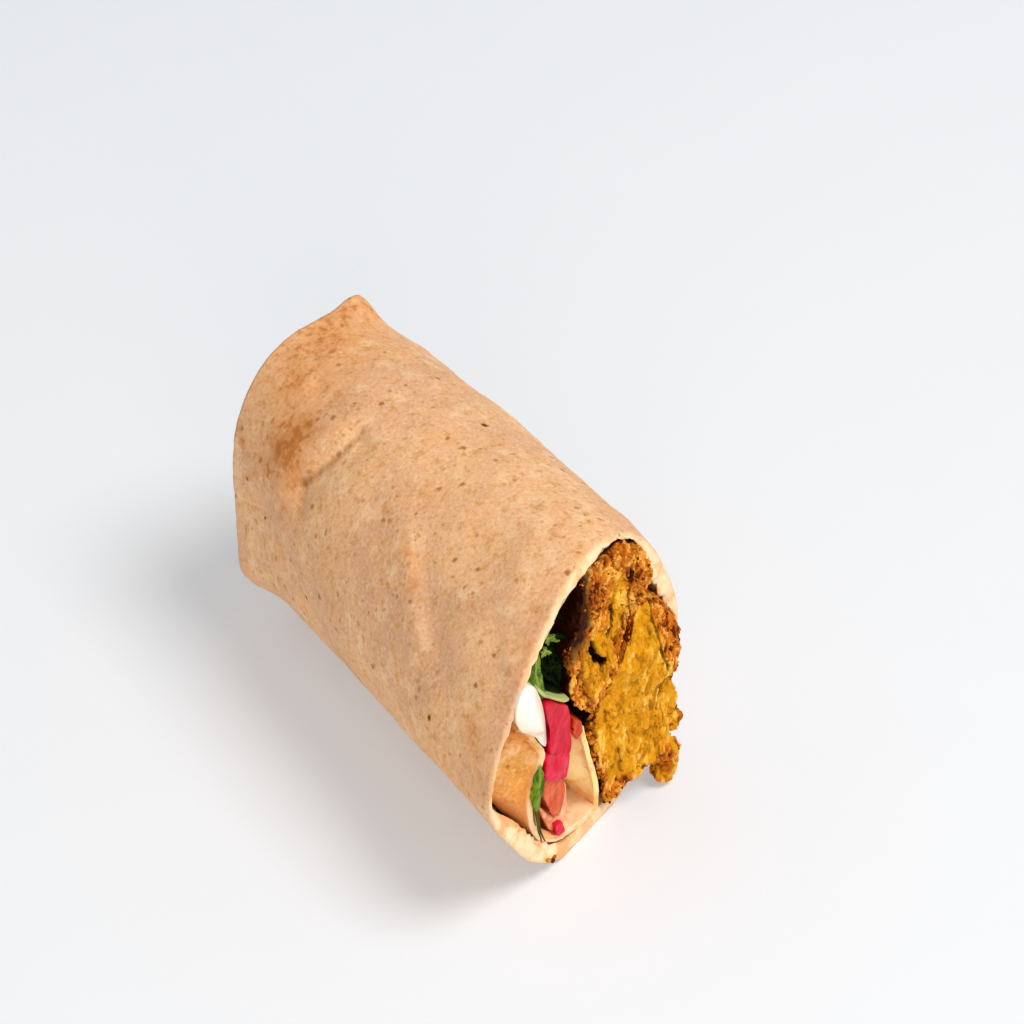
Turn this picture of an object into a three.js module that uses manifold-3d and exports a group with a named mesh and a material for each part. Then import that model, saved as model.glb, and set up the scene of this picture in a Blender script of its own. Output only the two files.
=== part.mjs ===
// Half a falafel wrap: a wheat tortilla rolled round falafel, pickled turnip, tomato, parsley and garlic
// sauce, then cut across at a slant. The half lies on its side, its folded end towards -X and its cut end
// towards +X. Millimetres, +Z up; the origin is the bottom centre of the whole half.

import * as THREE from "three";
import { mergeVertices } from "three/addons/utils/BufferGeometryUtils.js";
import Module from "manifold-3d";

// ---- driving dimensions ----

// The roll, measured from its axis: twelve radii every 30 degrees, from the far side over the top.
const axisHeight = 31;
const foldedEndRadii = [25.5, 26.5, 27.5, 29.5, 30.6, 28.2, 25.6, 28.4, 31.2, 33.4, 32, 28];
const waistRadii = [29.5, 29, 31, 32.5, 30.5, 29, 28.8, 28.5, 30.6, 33.5, 33.5, 31.5];
const cutRadii = [30.7, 29.1, 32.6, 35.5, 31, 29.2, 31.2, 28.4, 30.4, 33, 32.2, 31.6];
const waistAt = 0.5;

// The slanted planes that end the roll: x on the axis, and how far x moves for each millimetre across and up.
const cutPlane = { x: 54, perY: -0.54, perZ: 0 };
const foldedPlane = { x: -47.2, perY: -0.23, perZ: -0.084 };

// The tortilla: a round sheet whose free edge lies down the far side as an arc and ends in a corner.
const tortillaRadius = 150;
const sheetThickness = 2.2;
const flapAngleAtCut = -6;
const flapRollRadius = 28.5;
const flapFadeAngle = 40;
const rollLength = 100;
const foldedFlapDepth = 8;

// Two corners stand out of the folded end: the flap's tip, and a fold beside the surface on the near side.
const flapCorner = { angle: 74, rise: 3.2, width: 12, length: 7 };
const nearCorner = { angle: 218, rise: 1.9, width: 17, length: 8 };

// The layer of the roll that has sprung away from the wall, and the loose tongue that ends the roll inside.
const innerThickness = 1.8;
const tongueThickness = 1.5;

// How far each filling stands out of the cut (or back from it, when negative).
const goldenFalafelReach = 7;
const crustyFalafelReach = 0.6;
const greensRecess = -12;
const sauceReach = 3.6;

// ---- small helpers ----

const wasm = await Module();
wasm.setup();

const radians = THREE.MathUtils.degToRad;
const mix = THREE.MathUtils.lerp;
const ease = (t) => THREE.MathUtils.smoothstep(t, 0, 1);
const point = (x, y, z) => new THREE.Vector3(x, y, z);

// The value at an angle, on a smooth closed curve through values spaced evenly round the circle.
function around(values, angle) {
  const turns = angle / (2 * Math.PI);
  const place = (turns - Math.floor(turns)) * values.length;
  const index = Math.floor(place);
  const t = place - index;
  const [a, b, c, d] = [-1, 0, 1, 2].map((step) => values[(index + step + values.length) % values.length]);
  return b + 0.5 * t * (c - a + t * (2 * a - 5 * b + 4 * c - d + t * (3 * (b - c) + d - a)));
}

// A repeatable value from 0 to 1 for a corner of a unit lattice.
function latticeValue(i, j, k) {
  const mixed = Math.sin(i * 127.1 + j * 311.7 + k * 74.7) * 43758.5453;
  return mixed - Math.floor(mixed);
}

// Smooth bumps from -1 to 1 whose size is about the given number of millimetres.
function bumps(at, size) {
  const [x, y, z] = [at.x / size, at.y / size, at.z / size];
  const [i, j, k] = [Math.floor(x), Math.floor(y), Math.floor(z)];
  const [u, v, w] = [ease(x - i), ease(y - j), ease(z - k)];
  const edge = (b, c) => mix(latticeValue(i, j + b, k + c), latticeValue(i + 1, j + b, k + c), u);
  return 2 * mix(mix(edge(0, 0), edge(1, 0), v), mix(edge(0, 1), edge(1, 1), v), w) - 1;
}

// ---- surfaces ----

// A closed body from closed rings of points, each ring facing its neighbours and each end drawn to a point.
function skin(firstPole, rings, lastPole) {
  const count = rings[0].length;
  const positions = [firstPole, ...rings.flat(), lastPole];
  const at = (row, column) => 1 + row * count + (column % count);
  const last = positions.length - 1;
  const faces = [];
  for (let column = 0; column < count; column++) {
    faces.push(0, at(0, column + 1), at(0, column));
    faces.push(last, at(rings.length - 1, column), at(rings.length - 1, column + 1));
    for (let row = 0; row + 1 < rings.length; row++) {
      faces.push(at(row, column), at(row, column + 1), at(row + 1, column));
      faces.push(at(row, column + 1), at(row + 1, column + 1), at(row + 1, column));
    }
  }
  return closedGeometry(positions, faces);
}

// A thin sheet: middle(s, t) is its middle surface, and both faces are split into triangles alike.
function sheet(middle, columns, rows, thickness) {
  const width = columns + 1;
  const size = width * (rows + 1);
  const tops = [];
  const undersides = [];
  const step = 1e-3;
  for (let row = 0; row <= rows; row++) {
    for (let column = 0; column <= columns; column++) {
      const s = column / columns;
      const t = row / rows;
      const acrossSheet = middle(Math.min(s + step, 1), t).sub(middle(Math.max(s - step, 0), t));
      const alongSheet = middle(s, Math.min(t + step, 1)).sub(middle(s, Math.max(t - step, 0)));
      const normal = acrossSheet.cross(alongSheet).setLength(thickness / 2);
      tops.push(middle(s, t).add(normal));
      undersides.push(middle(s, t).sub(normal));
    }
  }
  const faces = [];
  const quad = (a, b, c, d) => faces.push(a, b, c, a, c, d);
  for (let row = 0; row < rows; row++) {
    for (let column = 0; column < columns; column++) {
      const top = row * width + column;
      const under = size + top;
      faces.push(top, top + 1, top + width + 1, top, top + width + 1, top + width);
      faces.push(under, under + width + 1, under + 1, under, under + width, under + width + 1);
    }
  }
  for (let column = 0; column < columns; column++) {
    const far = rows * width + column;
    quad(column, size + column, size + column + 1, column + 1);
    quad(far, far + 1, size + far + 1, size + far);
  }
  for (let row = 0; row < rows; row++) {
    const near = row * width;
    const far = near + columns;
    quad(near, near + width, size + near + width, size + near);
    quad(far, size + far, size + far + width, far + width);
  }
  return closedGeometry([...tops, ...undersides], faces);
}

// Puts points and faces into a geometry, turning the faces outwards if they point in.
function closedGeometry(points, faces) {
  let volume = 0;
  for (let i = 0; i < faces.length; i += 3) {
    const [a, b, c] = faces.slice(i, i + 3).map((index) => points[index]);
    volume += a.dot(b.clone().cross(c));
  }
  const outward = volume < 0 ? faces.toReversed() : faces;
  const geometry = new THREE.BufferGeometry().setFromPoints(points).setIndex(outward);
  geometry.computeVertexNormals();
  return geometry;
}

// Several closed geometries fused into one.
function fuse(geometries) {
  const solids = geometries.map((geometry) => {
    const bare = geometry.clone();
    bare.deleteAttribute("normal");
    bare.deleteAttribute("uv");
    const merged = mergeVertices(bare, 1e-4);
    const vertProperties = merged.attributes.position.array;
    const triVerts = new Uint32Array(merged.index.array);
    return new wasm.Manifold(new wasm.Mesh({ numProp: 3, vertProperties, triVerts }));
  });
  const { vertProperties, triVerts } = solids.reduce((all, solid) => all.add(solid)).getMesh();
  const geometry = new THREE.BufferGeometry();
  geometry.setAttribute("position", new THREE.BufferAttribute(vertProperties, 3));
  geometry.setIndex(new THREE.BufferAttribute(triVerts, 1));
  geometry.computeVertexNormals();
  return geometry;
}

// ---- the form of the roll ----

// The outer radius at an angle round the roll, at a station from the folded end (0) to the cut (1).
function rollRadius(angle, along) {
  const waist = around(waistRadii, angle);
  if (along < waistAt) return mix(around(foldedEndRadii, angle), waist, ease(along / waistAt));
  return mix(waist, around(cutRadii, angle), ease((along - waistAt) / (1 - waistAt)));
}

const planeX = (plane, y, z) => plane.x + plane.perY * y + plane.perZ * (z - axisHeight);
const stationX = (y, z, along) => mix(planeX(foldedPlane, y, z), planeX(cutPlane, y, z), along);

// A point of the filling: y and z are where its strand meets the cut, and it narrows with the roll.
function inRoll(y, z, along, ahead = 0) {
  const angle = Math.atan2(z - axisHeight, y);
  const room = (station) => rollRadius(angle, station) - sheetThickness;
  const scale = room(Math.min(along, 1)) / room(1);
  const narrowedY = y * scale;
  const narrowedZ = axisHeight + (z - axisHeight) * scale;
  return point(stationX(narrowedY, narrowedZ, along) + ahead, narrowedY, narrowedZ);
}

// ---- the tortilla ----

const columnCount = 60;
const flapStepAngle = radians(1.6);
const flapStepHeight = sheetThickness * 0.8;
const spiralTurns = 2.4;
const spiralStep = 1.5;

// The angle of the sheet's free edge: an arc that draws back from the cut towards the folded end.
function flapAngle(along) {
  const reach = rollLength * (1 - along);
  const drawnBack = tortillaRadius - Math.sqrt(tortillaRadius ** 2 - reach ** 2);
  return radians(flapAngleAtCut) + drawnBack / flapRollRadius;
}

// A dent or ridge that follows a short line across the roll, fading at its ends and to both sides.
function fold(angle, along, { from, to, width, depth }) {
  const degrees = THREE.MathUtils.radToDeg(angle);
  const [run, rise] = [to[0] - from[0], to[1] - from[1]];
  const t = ((degrees - from[0]) * run + (along - from[1]) * rise) / (run ** 2 + rise ** 2);
  const nearest = THREE.MathUtils.clamp(t, 0, 1);
  const acrossMm = radians(degrees - from[0] - run * nearest) * axisHeight;
  const alongMm = (along - from[1] - rise * nearest) * rollLength;
  return depth * Math.exp(-(acrossMm ** 2 + alongMm ** 2) / width ** 2);
}

// How far a corner of the folded end stands out at an angle and station.
function corner(angle, along, { angle: middle, rise, width, length }) {
  const across = (THREE.MathUtils.radToDeg(angle) - middle) / width;
  return rise * Math.exp(-(across ** 2) - ((along * rollLength) / length) ** 2);
}

// Folds in the sheet, as [degrees round the roll, station along it].
const folds = [
  { from: [150, 0.24], to: [118, 0.34], width: 4, depth: -1.5 },
  { from: [142, 0.19], to: [112, 0.29], width: 4.5, depth: 0.8 },
  { from: [124, 0.56], to: [148, 0.69], width: 6, depth: 0.8 },
  { from: [128, 0.62], to: [152, 0.76], width: 6, depth: -0.7 },
  { from: [170, 0.1], to: [196, 0.3], width: 7, depth: -0.8 },
  { from: [40, 0.3], to: [10, 0.55], width: 8, depth: -0.8 },
  { from: [-8, 0.12], to: [14, 0.3], width: 6, depth: -0.9 },
];

// A point of the tortilla's outer face, with its step at the flap, its folds and its flat underside.
function outerPoint(column, along) {
  const edge = flapAngle(along);
  const isBelowFlap = column === columnCount - 1;
  const turn = isBelowFlap ? -flapStepAngle : (2 * Math.PI * column) / (columnCount - 1);
  const angle = edge + turn;
  const belowFlap = isBelowFlap ? flapStepAngle : 2 * Math.PI - turn;
  const faded = Math.exp(-((belowFlap / radians(flapFadeAngle)) ** 2));
  const step = column === 0 ? 0 : flapStepHeight * faded;
  const plainAngle = THREE.MathUtils.euclideanModulo(angle + Math.PI / 2, 2 * Math.PI) - Math.PI / 2;
  const creases = folds.reduce((sum, line) => sum + fold(plainAngle, along, line), 0);
  const corners = corner(plainAngle, along, flapCorner) + corner(plainAngle, along, nearCorner);
  const radius = rollRadius(angle, along) - step + creases + corners;
  const y = radius * Math.cos(angle);
  const z = Math.max(axisHeight + radius * Math.sin(angle), 0);
  return point(stationX(y, z, along), y, z);
}

// The same place on the tortilla's inner face, one thickness in.
function innerPoint(column, along) {
  const isBelowFlap = column === columnCount - 1;
  const turn = isBelowFlap ? -flapStepAngle : (2 * Math.PI * column) / (columnCount - 1);
  const angle = flapAngle(along) + turn;
  const radius = rollRadius(angle, along) - sheetThickness;
  const y = radius * Math.cos(angle);
  const z = Math.max(axisHeight + radius * Math.sin(angle), sheetThickness);
  return point(stationX(y, z, along), y, z);
}

// The folded end: the sheet turns in over a soft rim, and its rolled edges show as a shallow spiral.
function foldedFace(column, share) {
  const rim = outerPoint(column, 0);
  const hub = point(planeX(foldedPlane, 0, axisHeight), 0, axisHeight);
  const onFace = hub.lerp(rim, share);
  const turn = column / columnCount;
  const spiral = THREE.MathUtils.euclideanModulo(share * spiralTurns - turn, 1);
  const layer = spiralStep * ease(spiral / 0.8) * ease((1 - share) / 0.2);
  const dish = 3.2 * (1 - share) ** 2;
  const rimSwell = 1.6 * Math.sin(Math.PI * share ** 3);
  onFace.x += dish - rimSwell + layer;
  return onFace;
}

function tortillaGeometry() {
  const ring = (place) => Array.from({ length: columnCount }, (_, column) => place(column));
  const faceShares = [0.1, 0.24, 0.38, 0.52, 0.66, 0.79, 0.9, 0.97];
  const outerRows = 25;
  const innerRows = 7;
  const innerEnd = foldedFlapDepth / rollLength;
  const rings = faceShares.map((share) => ring((column) => foldedFace(column, share)));
  for (let row = 0; row <= outerRows; row++) {
    rings.push(ring((column) => outerPoint(column, row / outerRows)));
  }
  for (let row = 0; row <= innerRows; row++) {
    rings.push(ring((column) => innerPoint(column, mix(1, innerEnd, row / innerRows))));
  }
  const innerHub = inRoll(0, axisHeight, innerEnd);
  rings.push(rings.at(-1).map((place) => place.clone().lerp(innerHub, 0.5)));
  const hub = foldedFace(0, 0);
  return skin(hub, rings, innerHub);
}

// ---- fillings that run through the roll ----

// A strand: outline is its edge where it meets the cut, as [y, z]; front(place) is how far its end stands
// out of the cut there; roughness is the depth of its crags.
function strand({ outline, from = 0.14, rows = 5, count = 36, caps = 5, front = () => 0, roughness = 0 }) {
  const curve = new THREE.CatmullRomCurve3(outline.map(([y, z]) => point(0, y, z)), true, "centripetal");
  const edge = curve.getSpacedPoints(count).slice(0, count);
  const middle = edge.reduce((sum, place) => sum.add(place), point(0, 0, 0)).divideScalar(count);
  const crag = (place, along) => roughness * (0.5 * bumps(place.clone().setX(along * rollLength), 6) - 0.5);
  const broken = (place) => roughness * (0.6 * bumps(place, 7.3) + 0.35 * bumps(place, 4.1) - 0.2);
  const ringAt = (share, t) =>
    edge.map((place) => {
      const along = mix(from, 1, t);
      const depth = crag(place, along);
      const wanted = place.clone().sub(middle).multiplyScalar(share);
      wanted.setLength(Math.max(wanted.length() + 0.6 * depth * share, 0)).add(middle);
      return inRoll(wanted.y, wanted.z, along, t ** 2 * (front(wanted) + broken(wanted)));
    });
  const rings = [ringAt(0.6, 0)];
  for (let row = 0; row <= rows; row++) rings.push(ringAt(1, row / rows));
  for (let cap = 1; cap < caps; cap++) rings.push(ringAt(1 - cap / caps, 1));
  const back = inRoll(middle.y, middle.z, from);
  const tip = inRoll(middle.y, middle.z, 1, front(middle) + broken(middle));
  return skin(back, rings, tip);
}

// A rough lump: a round body drawn out along each axis, with crags.
function lump({ at, size, roughness = 0.5, detail = 3 }) {
  const geometry = mergeVertices(bareIcosahedron(detail), 1e-4);
  const positions = geometry.attributes.position;
  for (let i = 0; i < positions.count; i++) {
    const way = point(0, 0, 0).fromBufferAttribute(positions, i);
    const crag = roughness * bumps(way.clone().multiplyScalar(7).add(at), 3.2);
    way.multiplyScalar(1 + crag / Math.min(...size.toArray())).multiply(size).add(at);
    positions.setXYZ(i, way.x, way.y, way.z);
  }
  return geometry;
}

function bareIcosahedron(detail) {
  const geometry = new THREE.IcosahedronGeometry(1, detail);
  geometry.deleteAttribute("normal");
  geometry.deleteAttribute("uv");
  return geometry;
}

// ---- falafel ----

// The golden one has been cut through: its crumb breaks out of the roll on the low far side.
function goldenFalafel() {
  const outline = [
    [15.4, 43.2], [20.6, 42.6], [24.6, 37.5], [25.4, 31], [24, 24], [24.6, 17.6], [21, 10.6],
    [14.6, 8], [9.4, 5.6], [5.3, 4.8], [4.9, 9.6], [3.5, 15], [2, 20.5], [1, 25], [3.2, 28.2],
    [8.2, 33.2], [11.9, 39.4],
  ];
  const front = ({ y, z }) => 1 + (goldenFalafelReach - 1) * ease((y - 2) / 20) * ease((48 - z) / 14);
  const body = strand({ outline, front, count: 48, rows: 5, caps: 10, roughness: 2 });
  const lumps = [
    { at: point(47.8, 21.2, 5), size: point(3.6, 2.6, 4.4) },
    { at: point(47, 22.4, 12.6), size: point(3.6, 2.6, 5) },
  ];
  return fuse([body, ...lumps.map((each) => lump({ ...each, roughness: 0.9, detail: 2 }))]);
}

// The other shows its fried crust, with a pit in its lower part.
function crustyFalafel() {
  const outline = [
    [3.4, 63], [-2.2, 62.4], [-2.4, 58.4], [-4.2, 54], [-5.4, 50.4], [-6.8, 47.4], [-6.2, 44],
    [-5.8, 41], [-5, 36.6], [-2.4, 32.6], [0.4, 30], [3, 30.6], [7.2, 34.6], [10.6, 40],
    [14, 44.6], [19.6, 44.6], [18.8, 49.4], [16, 54], [12.4, 58.6], [8.4, 61.8],
  ];
  const pit = point(0, 4, 41);
  const front = (place) => {
    const hollow = 4 * Math.exp(-place.clone().setX(0).distanceToSquared(pit) / 7);
    return crustyFalafelReach + 0.8 * ease((50 - place.z) / 14) - hollow;
  };
  return strand({ outline, front, count: 44, rows: 5, caps: 9, roughness: 1.8 });
}

// ---- vegetables and sauce ----

function garlicSauce() {
  const outline = [
    [-21.3, 45.8], [-19.5, 48], [-17.9, 47.6], [-16.2, 44.6], [-14.9, 41.4], [-13.8, 36.6],
    [-13.2, 32.8], [-14.6, 34.6], [-16.3, 38.4], [-19.2, 42], [-21.4, 44.2],
  ];
  const front = ({ y, z }) => sauceReach * ease((z - 30) / 12) * ease((-y - 12) / 4);
  return strand({ outline, front, from: 0.3, count: 26, rows: 3, caps: 4 });
}

const turnips = {
  turnip_upper: {
    reach: 0.8,
    outline: [[-13.3, 41.2], [-6.4, 35.8], [-5.8, 26], [-11.9, 30.4]],
  },
  turnip_lower: {
    reach: 0.5,
    outline: [[-13, 27.4], [-11.9, 28.6], [-6.2, 24.4], [-6.4, 19.6], [-12.9, 23.8]],
  },
  turnip_bit: {
    reach: 0.8,
    outline: [[-10.7, 11], [-8.4, 10.2], [-7.7, 8.4], [-9.8, 8.9]],
  },
};

const tomatoes = {
  tomato_wedge: {
    reach: -0.6,
    outline: [[-13.1, 22], [-7.5, 18.2], [-6.9, 13.8], [-9.4, 12], [-11.8, 15], [-13.3, 19]],
  },
  tomato_bit: {
    reach: 0.5,
    outline: [[-4.9, 31.4], [-3.2, 29.8], [-2.9, 28], [-4.4, 28.2]],
  },
};

// A stick of vegetable with crisp long edges and an end parallel to the cut.
function stick({ outline, reach }) {
  const crisp = crispOutline(outline);
  return strand({ outline: crisp, front: () => reach, from: 0.4, count: 20, rows: 2, caps: 2 });
}

// Two points near each corner keep the corners of an outline crisp when a smooth curve passes through them.
function crispOutline(corners) {
  const share = 0.16;
  const towards = ([y, z], [otherY, otherZ]) => [mix(y, otherY, share), mix(z, otherZ, share)];
  return corners.flatMap((place, index) => {
    const past = corners.at(index - 1);
    const next = corners[(index + 1) % corners.length];
    return [towards(place, past), towards(place, next)];
  });
}

// ---- inner layers of the roll ----

function innerLayerGeometry() {
  const path = new THREE.CatmullRomCurve3(
    [
      [-22.3, 42.4], [-19.7, 39.4], [-16.8, 35], [-14.5, 30.8], [-15.4, 28], [-17.3, 24.4], [-17.9, 20],
      [-16.9, 15.2], [-14, 10.4], [-9.5, 6.6], [-4, 4.7], [0.4, 4.3],
    ].map(([y, z]) => point(0, y, z)),
  );
  const middle = (s, t) => {
    const place = path.getPoint(s);
    return inRoll(place.y, place.z, mix(0.16, 1, t));
  };
  return sheet(middle, 22, 6, innerThickness);
}

// The tongue leaves the cut beside the golden falafel and slants back towards the turnip.
function tongueGeometry() {
  const path = new THREE.CatmullRomCurve3(
    [[3.2, 4.9], [3, 9], [1.7, 14], [-0.1, 19.5], [-2.2, 26.4]].map(([y, z]) => point(0, y, z)),
  );
  const flareDepth = 9;
  const deepY = -4.2;
  const length = 70;
  const middle = (s, t) => {
    const place = path.getPoint(s);
    const back = length * (1 - t) ** 2;
    const swing = ease(back / flareDepth) * (0.15 + 0.85 * ease(s * 2));
    return inRoll(mix(place.y, deepY, swing), place.z, 1 - back / rollLength);
  };
  return sheet(middle, 7, 14, tongueThickness);
}

// ---- greens ----

// A leaf: root and tip give its length, bend lifts its middle, and its edge is cut into lobes.
function leaf({ root, tip, side, width, bend, lobes = 3, thickness = 0.6 }) {
  const run = tip.clone().sub(root);
  const lift = run.clone().cross(side).normalize();
  const middle = (s, t) => {
    const half = width * (0.12 + 0.88 * Math.sin(Math.PI * Math.min(Math.max(t, 0), 1)) ** 0.7);
    const lobed = half * (1 - 0.22 * Math.cos(2 * Math.PI * lobes * t) ** 2);
    const offset = (2 * s - 1) * lobed;
    const wave = bend * Math.sin(Math.PI * t) + 0.35 * Math.sin(6 * t + 5 * s) - 0.14 * Math.abs(offset);
    return root.clone().addScaledVector(run, t).addScaledVector(side, offset).addScaledVector(lift, wave);
  };
  return sheet(middle, 4, 12, thickness);
}

// Parsley packed into the hollow beside the falafel: a dark bed well behind the cut, with leaves on it.
function greensGeometry() {
  const outline = [
    [-8.4, 58], [-5.8, 54.5], [-6.8, 50.8], [-8.8, 47.6], [-7.9, 43.4], [-12.4, 46], [-15.4, 50.4],
    [-13, 54.6],
  ];
  const front = () => greensRecess;
  const bed = strand({ outline, front, from: 0.2, count: 20, rows: 3, caps: 4, roughness: 1 });
  const rootRecess = greensRecess - 5;
  const leaves = [
    {
      root: inRoll(-10, 47, 1, rootRecess), tip: inRoll(-9.2, 45, 1, -5.5),
      side: point(-0.1, 0.5, 0.86), width: 2.6, bend: 1,
    },
    {
      root: inRoll(-10.8, 52, 1, rootRecess), tip: inRoll(-9.6, 51.4, 1, -8),
      side: point(0.1, 0.86, -0.4), width: 1.9, bend: -1,
    },
    {
      root: inRoll(-9.6, 56, 1, rootRecess), tip: inRoll(-9.4, 55.4, 1, -7),
      side: point(0, 0.8, -0.5), width: 2.2, bend: 0.8,
    },
  ];
  return fuse([bed, ...leaves.map(leaf)]);
}

const looseLeaves = {
  parsley_upper: {
    root: inRoll(-14.2, 51.4, 1, -8), tip: inRoll(-14.6, 49.6, 1, 1.5),
    side: point(-0.1, 0.5, -0.86).normalize(), width: 2.8, bend: 0.4,
  },
  parsley_lower: {
    root: inRoll(-14.8, 22.2, 1, -7), tip: inRoll(-15.1, 21.6, 1, 3.6),
    side: point(0, 0.06, 1).normalize(), width: 3.6, bend: 0.3,
  },
};

// A lettuce leaf seen by its pale cut edge, arched over the turnip.
function lettuceGeometry() {
  const path = new THREE.CatmullRomCurve3(
    [[-16.2, 47.6], [-14.4, 45], [-11.8, 42], [-9.1, 39.8], [-6.9, 38.2]].map(([y, z]) => point(0, y, z)),
  );
  const middle = (s, t) => {
    const place = path.getPoint(s);
    return inRoll(place.y, place.z, 1, mix(-26, 0.5, t) + 0.5 * Math.sin(9 * s) * t);
  };
  return sheet(middle, 10, 4, 0.9);
}

// ---- the whole half ----

const group = new THREE.Group();
const half = new THREE.Group();

function add(name, geometry, color, roughness) {
  const material = new THREE.MeshStandardMaterial({ color, roughness, metalness: 0 });
  const mesh = new THREE.Mesh(geometry, material);
  mesh.name = name;
  half.add(mesh);
}

add("tortilla", tortillaGeometry(), 0xcf9f74, 0.75);
add("inner_layer", innerLayerGeometry(), 0xdd9f63, 0.75);
add("inner_tongue", tongueGeometry(), 0xf5cb86, 0.7);
add("falafel_golden", goldenFalafel(), 0xd79a32, 0.9);
add("falafel_crusty", crustyFalafel(), 0xa55a1d, 0.9);
add("garlic_sauce", garlicSauce(), 0xf8f5ea, 0.35);
for (const [name, shape] of Object.entries(turnips)) add(name, stick(shape), 0xdc3458, 0.3);
for (const [name, shape] of Object.entries(tomatoes)) add(name, stick(shape), 0xcf5a35, 0.35);
add("greens", greensGeometry(), 0x35571c, 0.6);
add("lettuce_edge", lettuceGeometry(), 0xb5bd5c, 0.5);
for (const [name, shape] of Object.entries(looseLeaves)) add(name, leaf(shape), 0x4d7a22, 0.55);

// The origin: the bottom centre of the box round the whole half.
const box = new THREE.Box3().setFromObject(half);
const centre = box.getCenter(point(0, 0, 0));
half.position.set(-centre.x, -centre.y, -box.min.z);
group.add(half);

export default group;
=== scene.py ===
import math

import bpy
import bmesh
import numpy as np
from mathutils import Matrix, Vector


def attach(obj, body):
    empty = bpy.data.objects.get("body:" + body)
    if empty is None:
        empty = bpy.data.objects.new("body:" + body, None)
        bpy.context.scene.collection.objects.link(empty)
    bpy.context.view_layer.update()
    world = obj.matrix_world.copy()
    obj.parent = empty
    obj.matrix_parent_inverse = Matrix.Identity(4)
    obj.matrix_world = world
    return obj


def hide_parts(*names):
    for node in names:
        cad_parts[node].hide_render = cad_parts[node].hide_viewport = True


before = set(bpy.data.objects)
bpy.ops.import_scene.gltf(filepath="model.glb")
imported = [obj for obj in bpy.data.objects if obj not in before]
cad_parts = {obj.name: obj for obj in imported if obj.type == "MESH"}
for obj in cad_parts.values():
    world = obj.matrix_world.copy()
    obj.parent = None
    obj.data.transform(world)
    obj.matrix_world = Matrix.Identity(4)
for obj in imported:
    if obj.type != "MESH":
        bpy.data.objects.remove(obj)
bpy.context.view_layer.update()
print("frame loaded:", sorted(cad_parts))

# Half of a falafel wrap. Shapes are worked out in millimetres from the roll's own axis: x along the roll
# towards the cut, y across it, z up from the surface it lies on. inFrame moves them to the frame, in metres.
roll = {
    "axisHeight": 31.0,
    "length": 100.0,
    "waistAt": 0.5,
    "foldedEndRadii": [25.5, 26.5, 27.5, 29.5, 30.6, 28.2, 25.6, 28.4, 31.2, 33.4, 32, 28],
    "waistRadii": [29.5, 29, 31, 32.5, 30.5, 29, 28.8, 28.5, 30.6, 33.5, 33.5, 31.5],
    "cutRadii": [30.7, 29.1, 32.6, 35.5, 31, 29.2, 31.2, 28.4, 30.4, 33, 32.2, 31.6],
    "cutPlane": (54.0, -0.54, 0.0),         # x on the axis, then how far x moves per mm across and up
    "foldedPlane": (-47.2, -0.23, -0.084),
    "sheetThickness": 2.2,
    "axisInFrame": (-8.5116, 0.1886, 0.0),
}


# ---- numbers ----

def ease(t):                                # 3t^2 - 2t^3 from 0 to 1, level outside
    t = np.clip(t, 0, 1)
    return t * t * (3 - 2 * t)


def mixed(a, b, t):                         # a at t 0, b at t 1
    return a + (b - a) * t


def catmullRom(a, b, c, d, t):              # smooth curve from b at t 0 to c at t 1, a and d their neighbours
    return b + 0.5 * t * (c - a + t * (2 * a - 5 * b + 4 * c - d + t * (3 * (b - c) + d - a)))


def around(values, angle):                  # smooth closed curve through values spaced evenly round a circle
    values = np.asarray(values, float)
    place = (angle / (2 * np.pi)) % 1 * len(values)
    index = np.floor(place).astype(int)
    return catmullRom(*(values[(index + step) % len(values)] for step in (-1, 0, 1, 2)), place - index)


def wrapped(angle, turn=2 * np.pi):         # an angle brought within half a turn of 0
    return (angle + turn / 2) % turn - turn / 2


def unit(vectors):
    return vectors / np.maximum(np.linalg.norm(vectors, axis=-1, keepdims=True), 1e-9)


def latticeValue(cell):                     # repeatable value from 0 to 1 for a whole-number corner
    mixedUp = np.sin(cell @ (127.1, 311.7, 74.7)) * 43758.5453
    return mixedUp - np.floor(mixedUp)


def bumps(points, size):                    # smooth lumps from -1 to 1, about size mm across
    cell = np.floor(points / size)
    t = ease(points / size - cell)
    total = 0
    for corner in np.ndindex(2, 2, 2):      # each corner's value, weighted by how near the point is to it
        weight = np.prod(np.where(corner, t, 1 - t), axis=-1)
        total = total + weight * latticeValue(cell + corner)
    return 2 * total - 1


def grains(points, size):                   # grains packed side by side: 0 in the gaps between them, up to 1
    cell = np.floor(points / size)          # inside, and with them a value from 0 to 1 for each whole grain
    nearest = np.full(points.shape[:-1], 9.0)
    second = nearest.copy()
    level = nearest.copy()
    for step in np.ndindex(3, 3, 3):
        corner = cell + np.array(step) - 1
        middle = corner + np.stack([latticeValue(corner + shift) for shift in (0.31, 5.72, 9.13)], -1)
        distance = np.linalg.norm(middle - points / size, axis=-1)
        level = np.where(distance < nearest, latticeValue(corner + 2.17), level)
        second = np.minimum(second, np.maximum(nearest, distance))
        nearest = np.minimum(nearest, distance)
    return np.sqrt(np.clip(second - nearest, 0, 1)), level


def offLine(y, z, start, end):              # steps to a point from the nearest place of a short straight line
    run, rise = end[0] - start[0], end[1] - start[1]
    t = np.clip(((y - start[0]) * run + (z - start[1]) * rise) / (run ** 2 + rise ** 2), 0, 1)
    return y - start[0] - run * t, z - start[1] - rise * t


def lineDistance(y, z, line):               # distance from a broken line
    nearest = np.full(np.shape(y), 99.0)
    for start, end in zip(line[:-1], line[1:]):
        nearest = np.minimum(nearest, np.hypot(*offLine(y, z, start, end)))
    return nearest


# ---- the form of the roll ----

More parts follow.
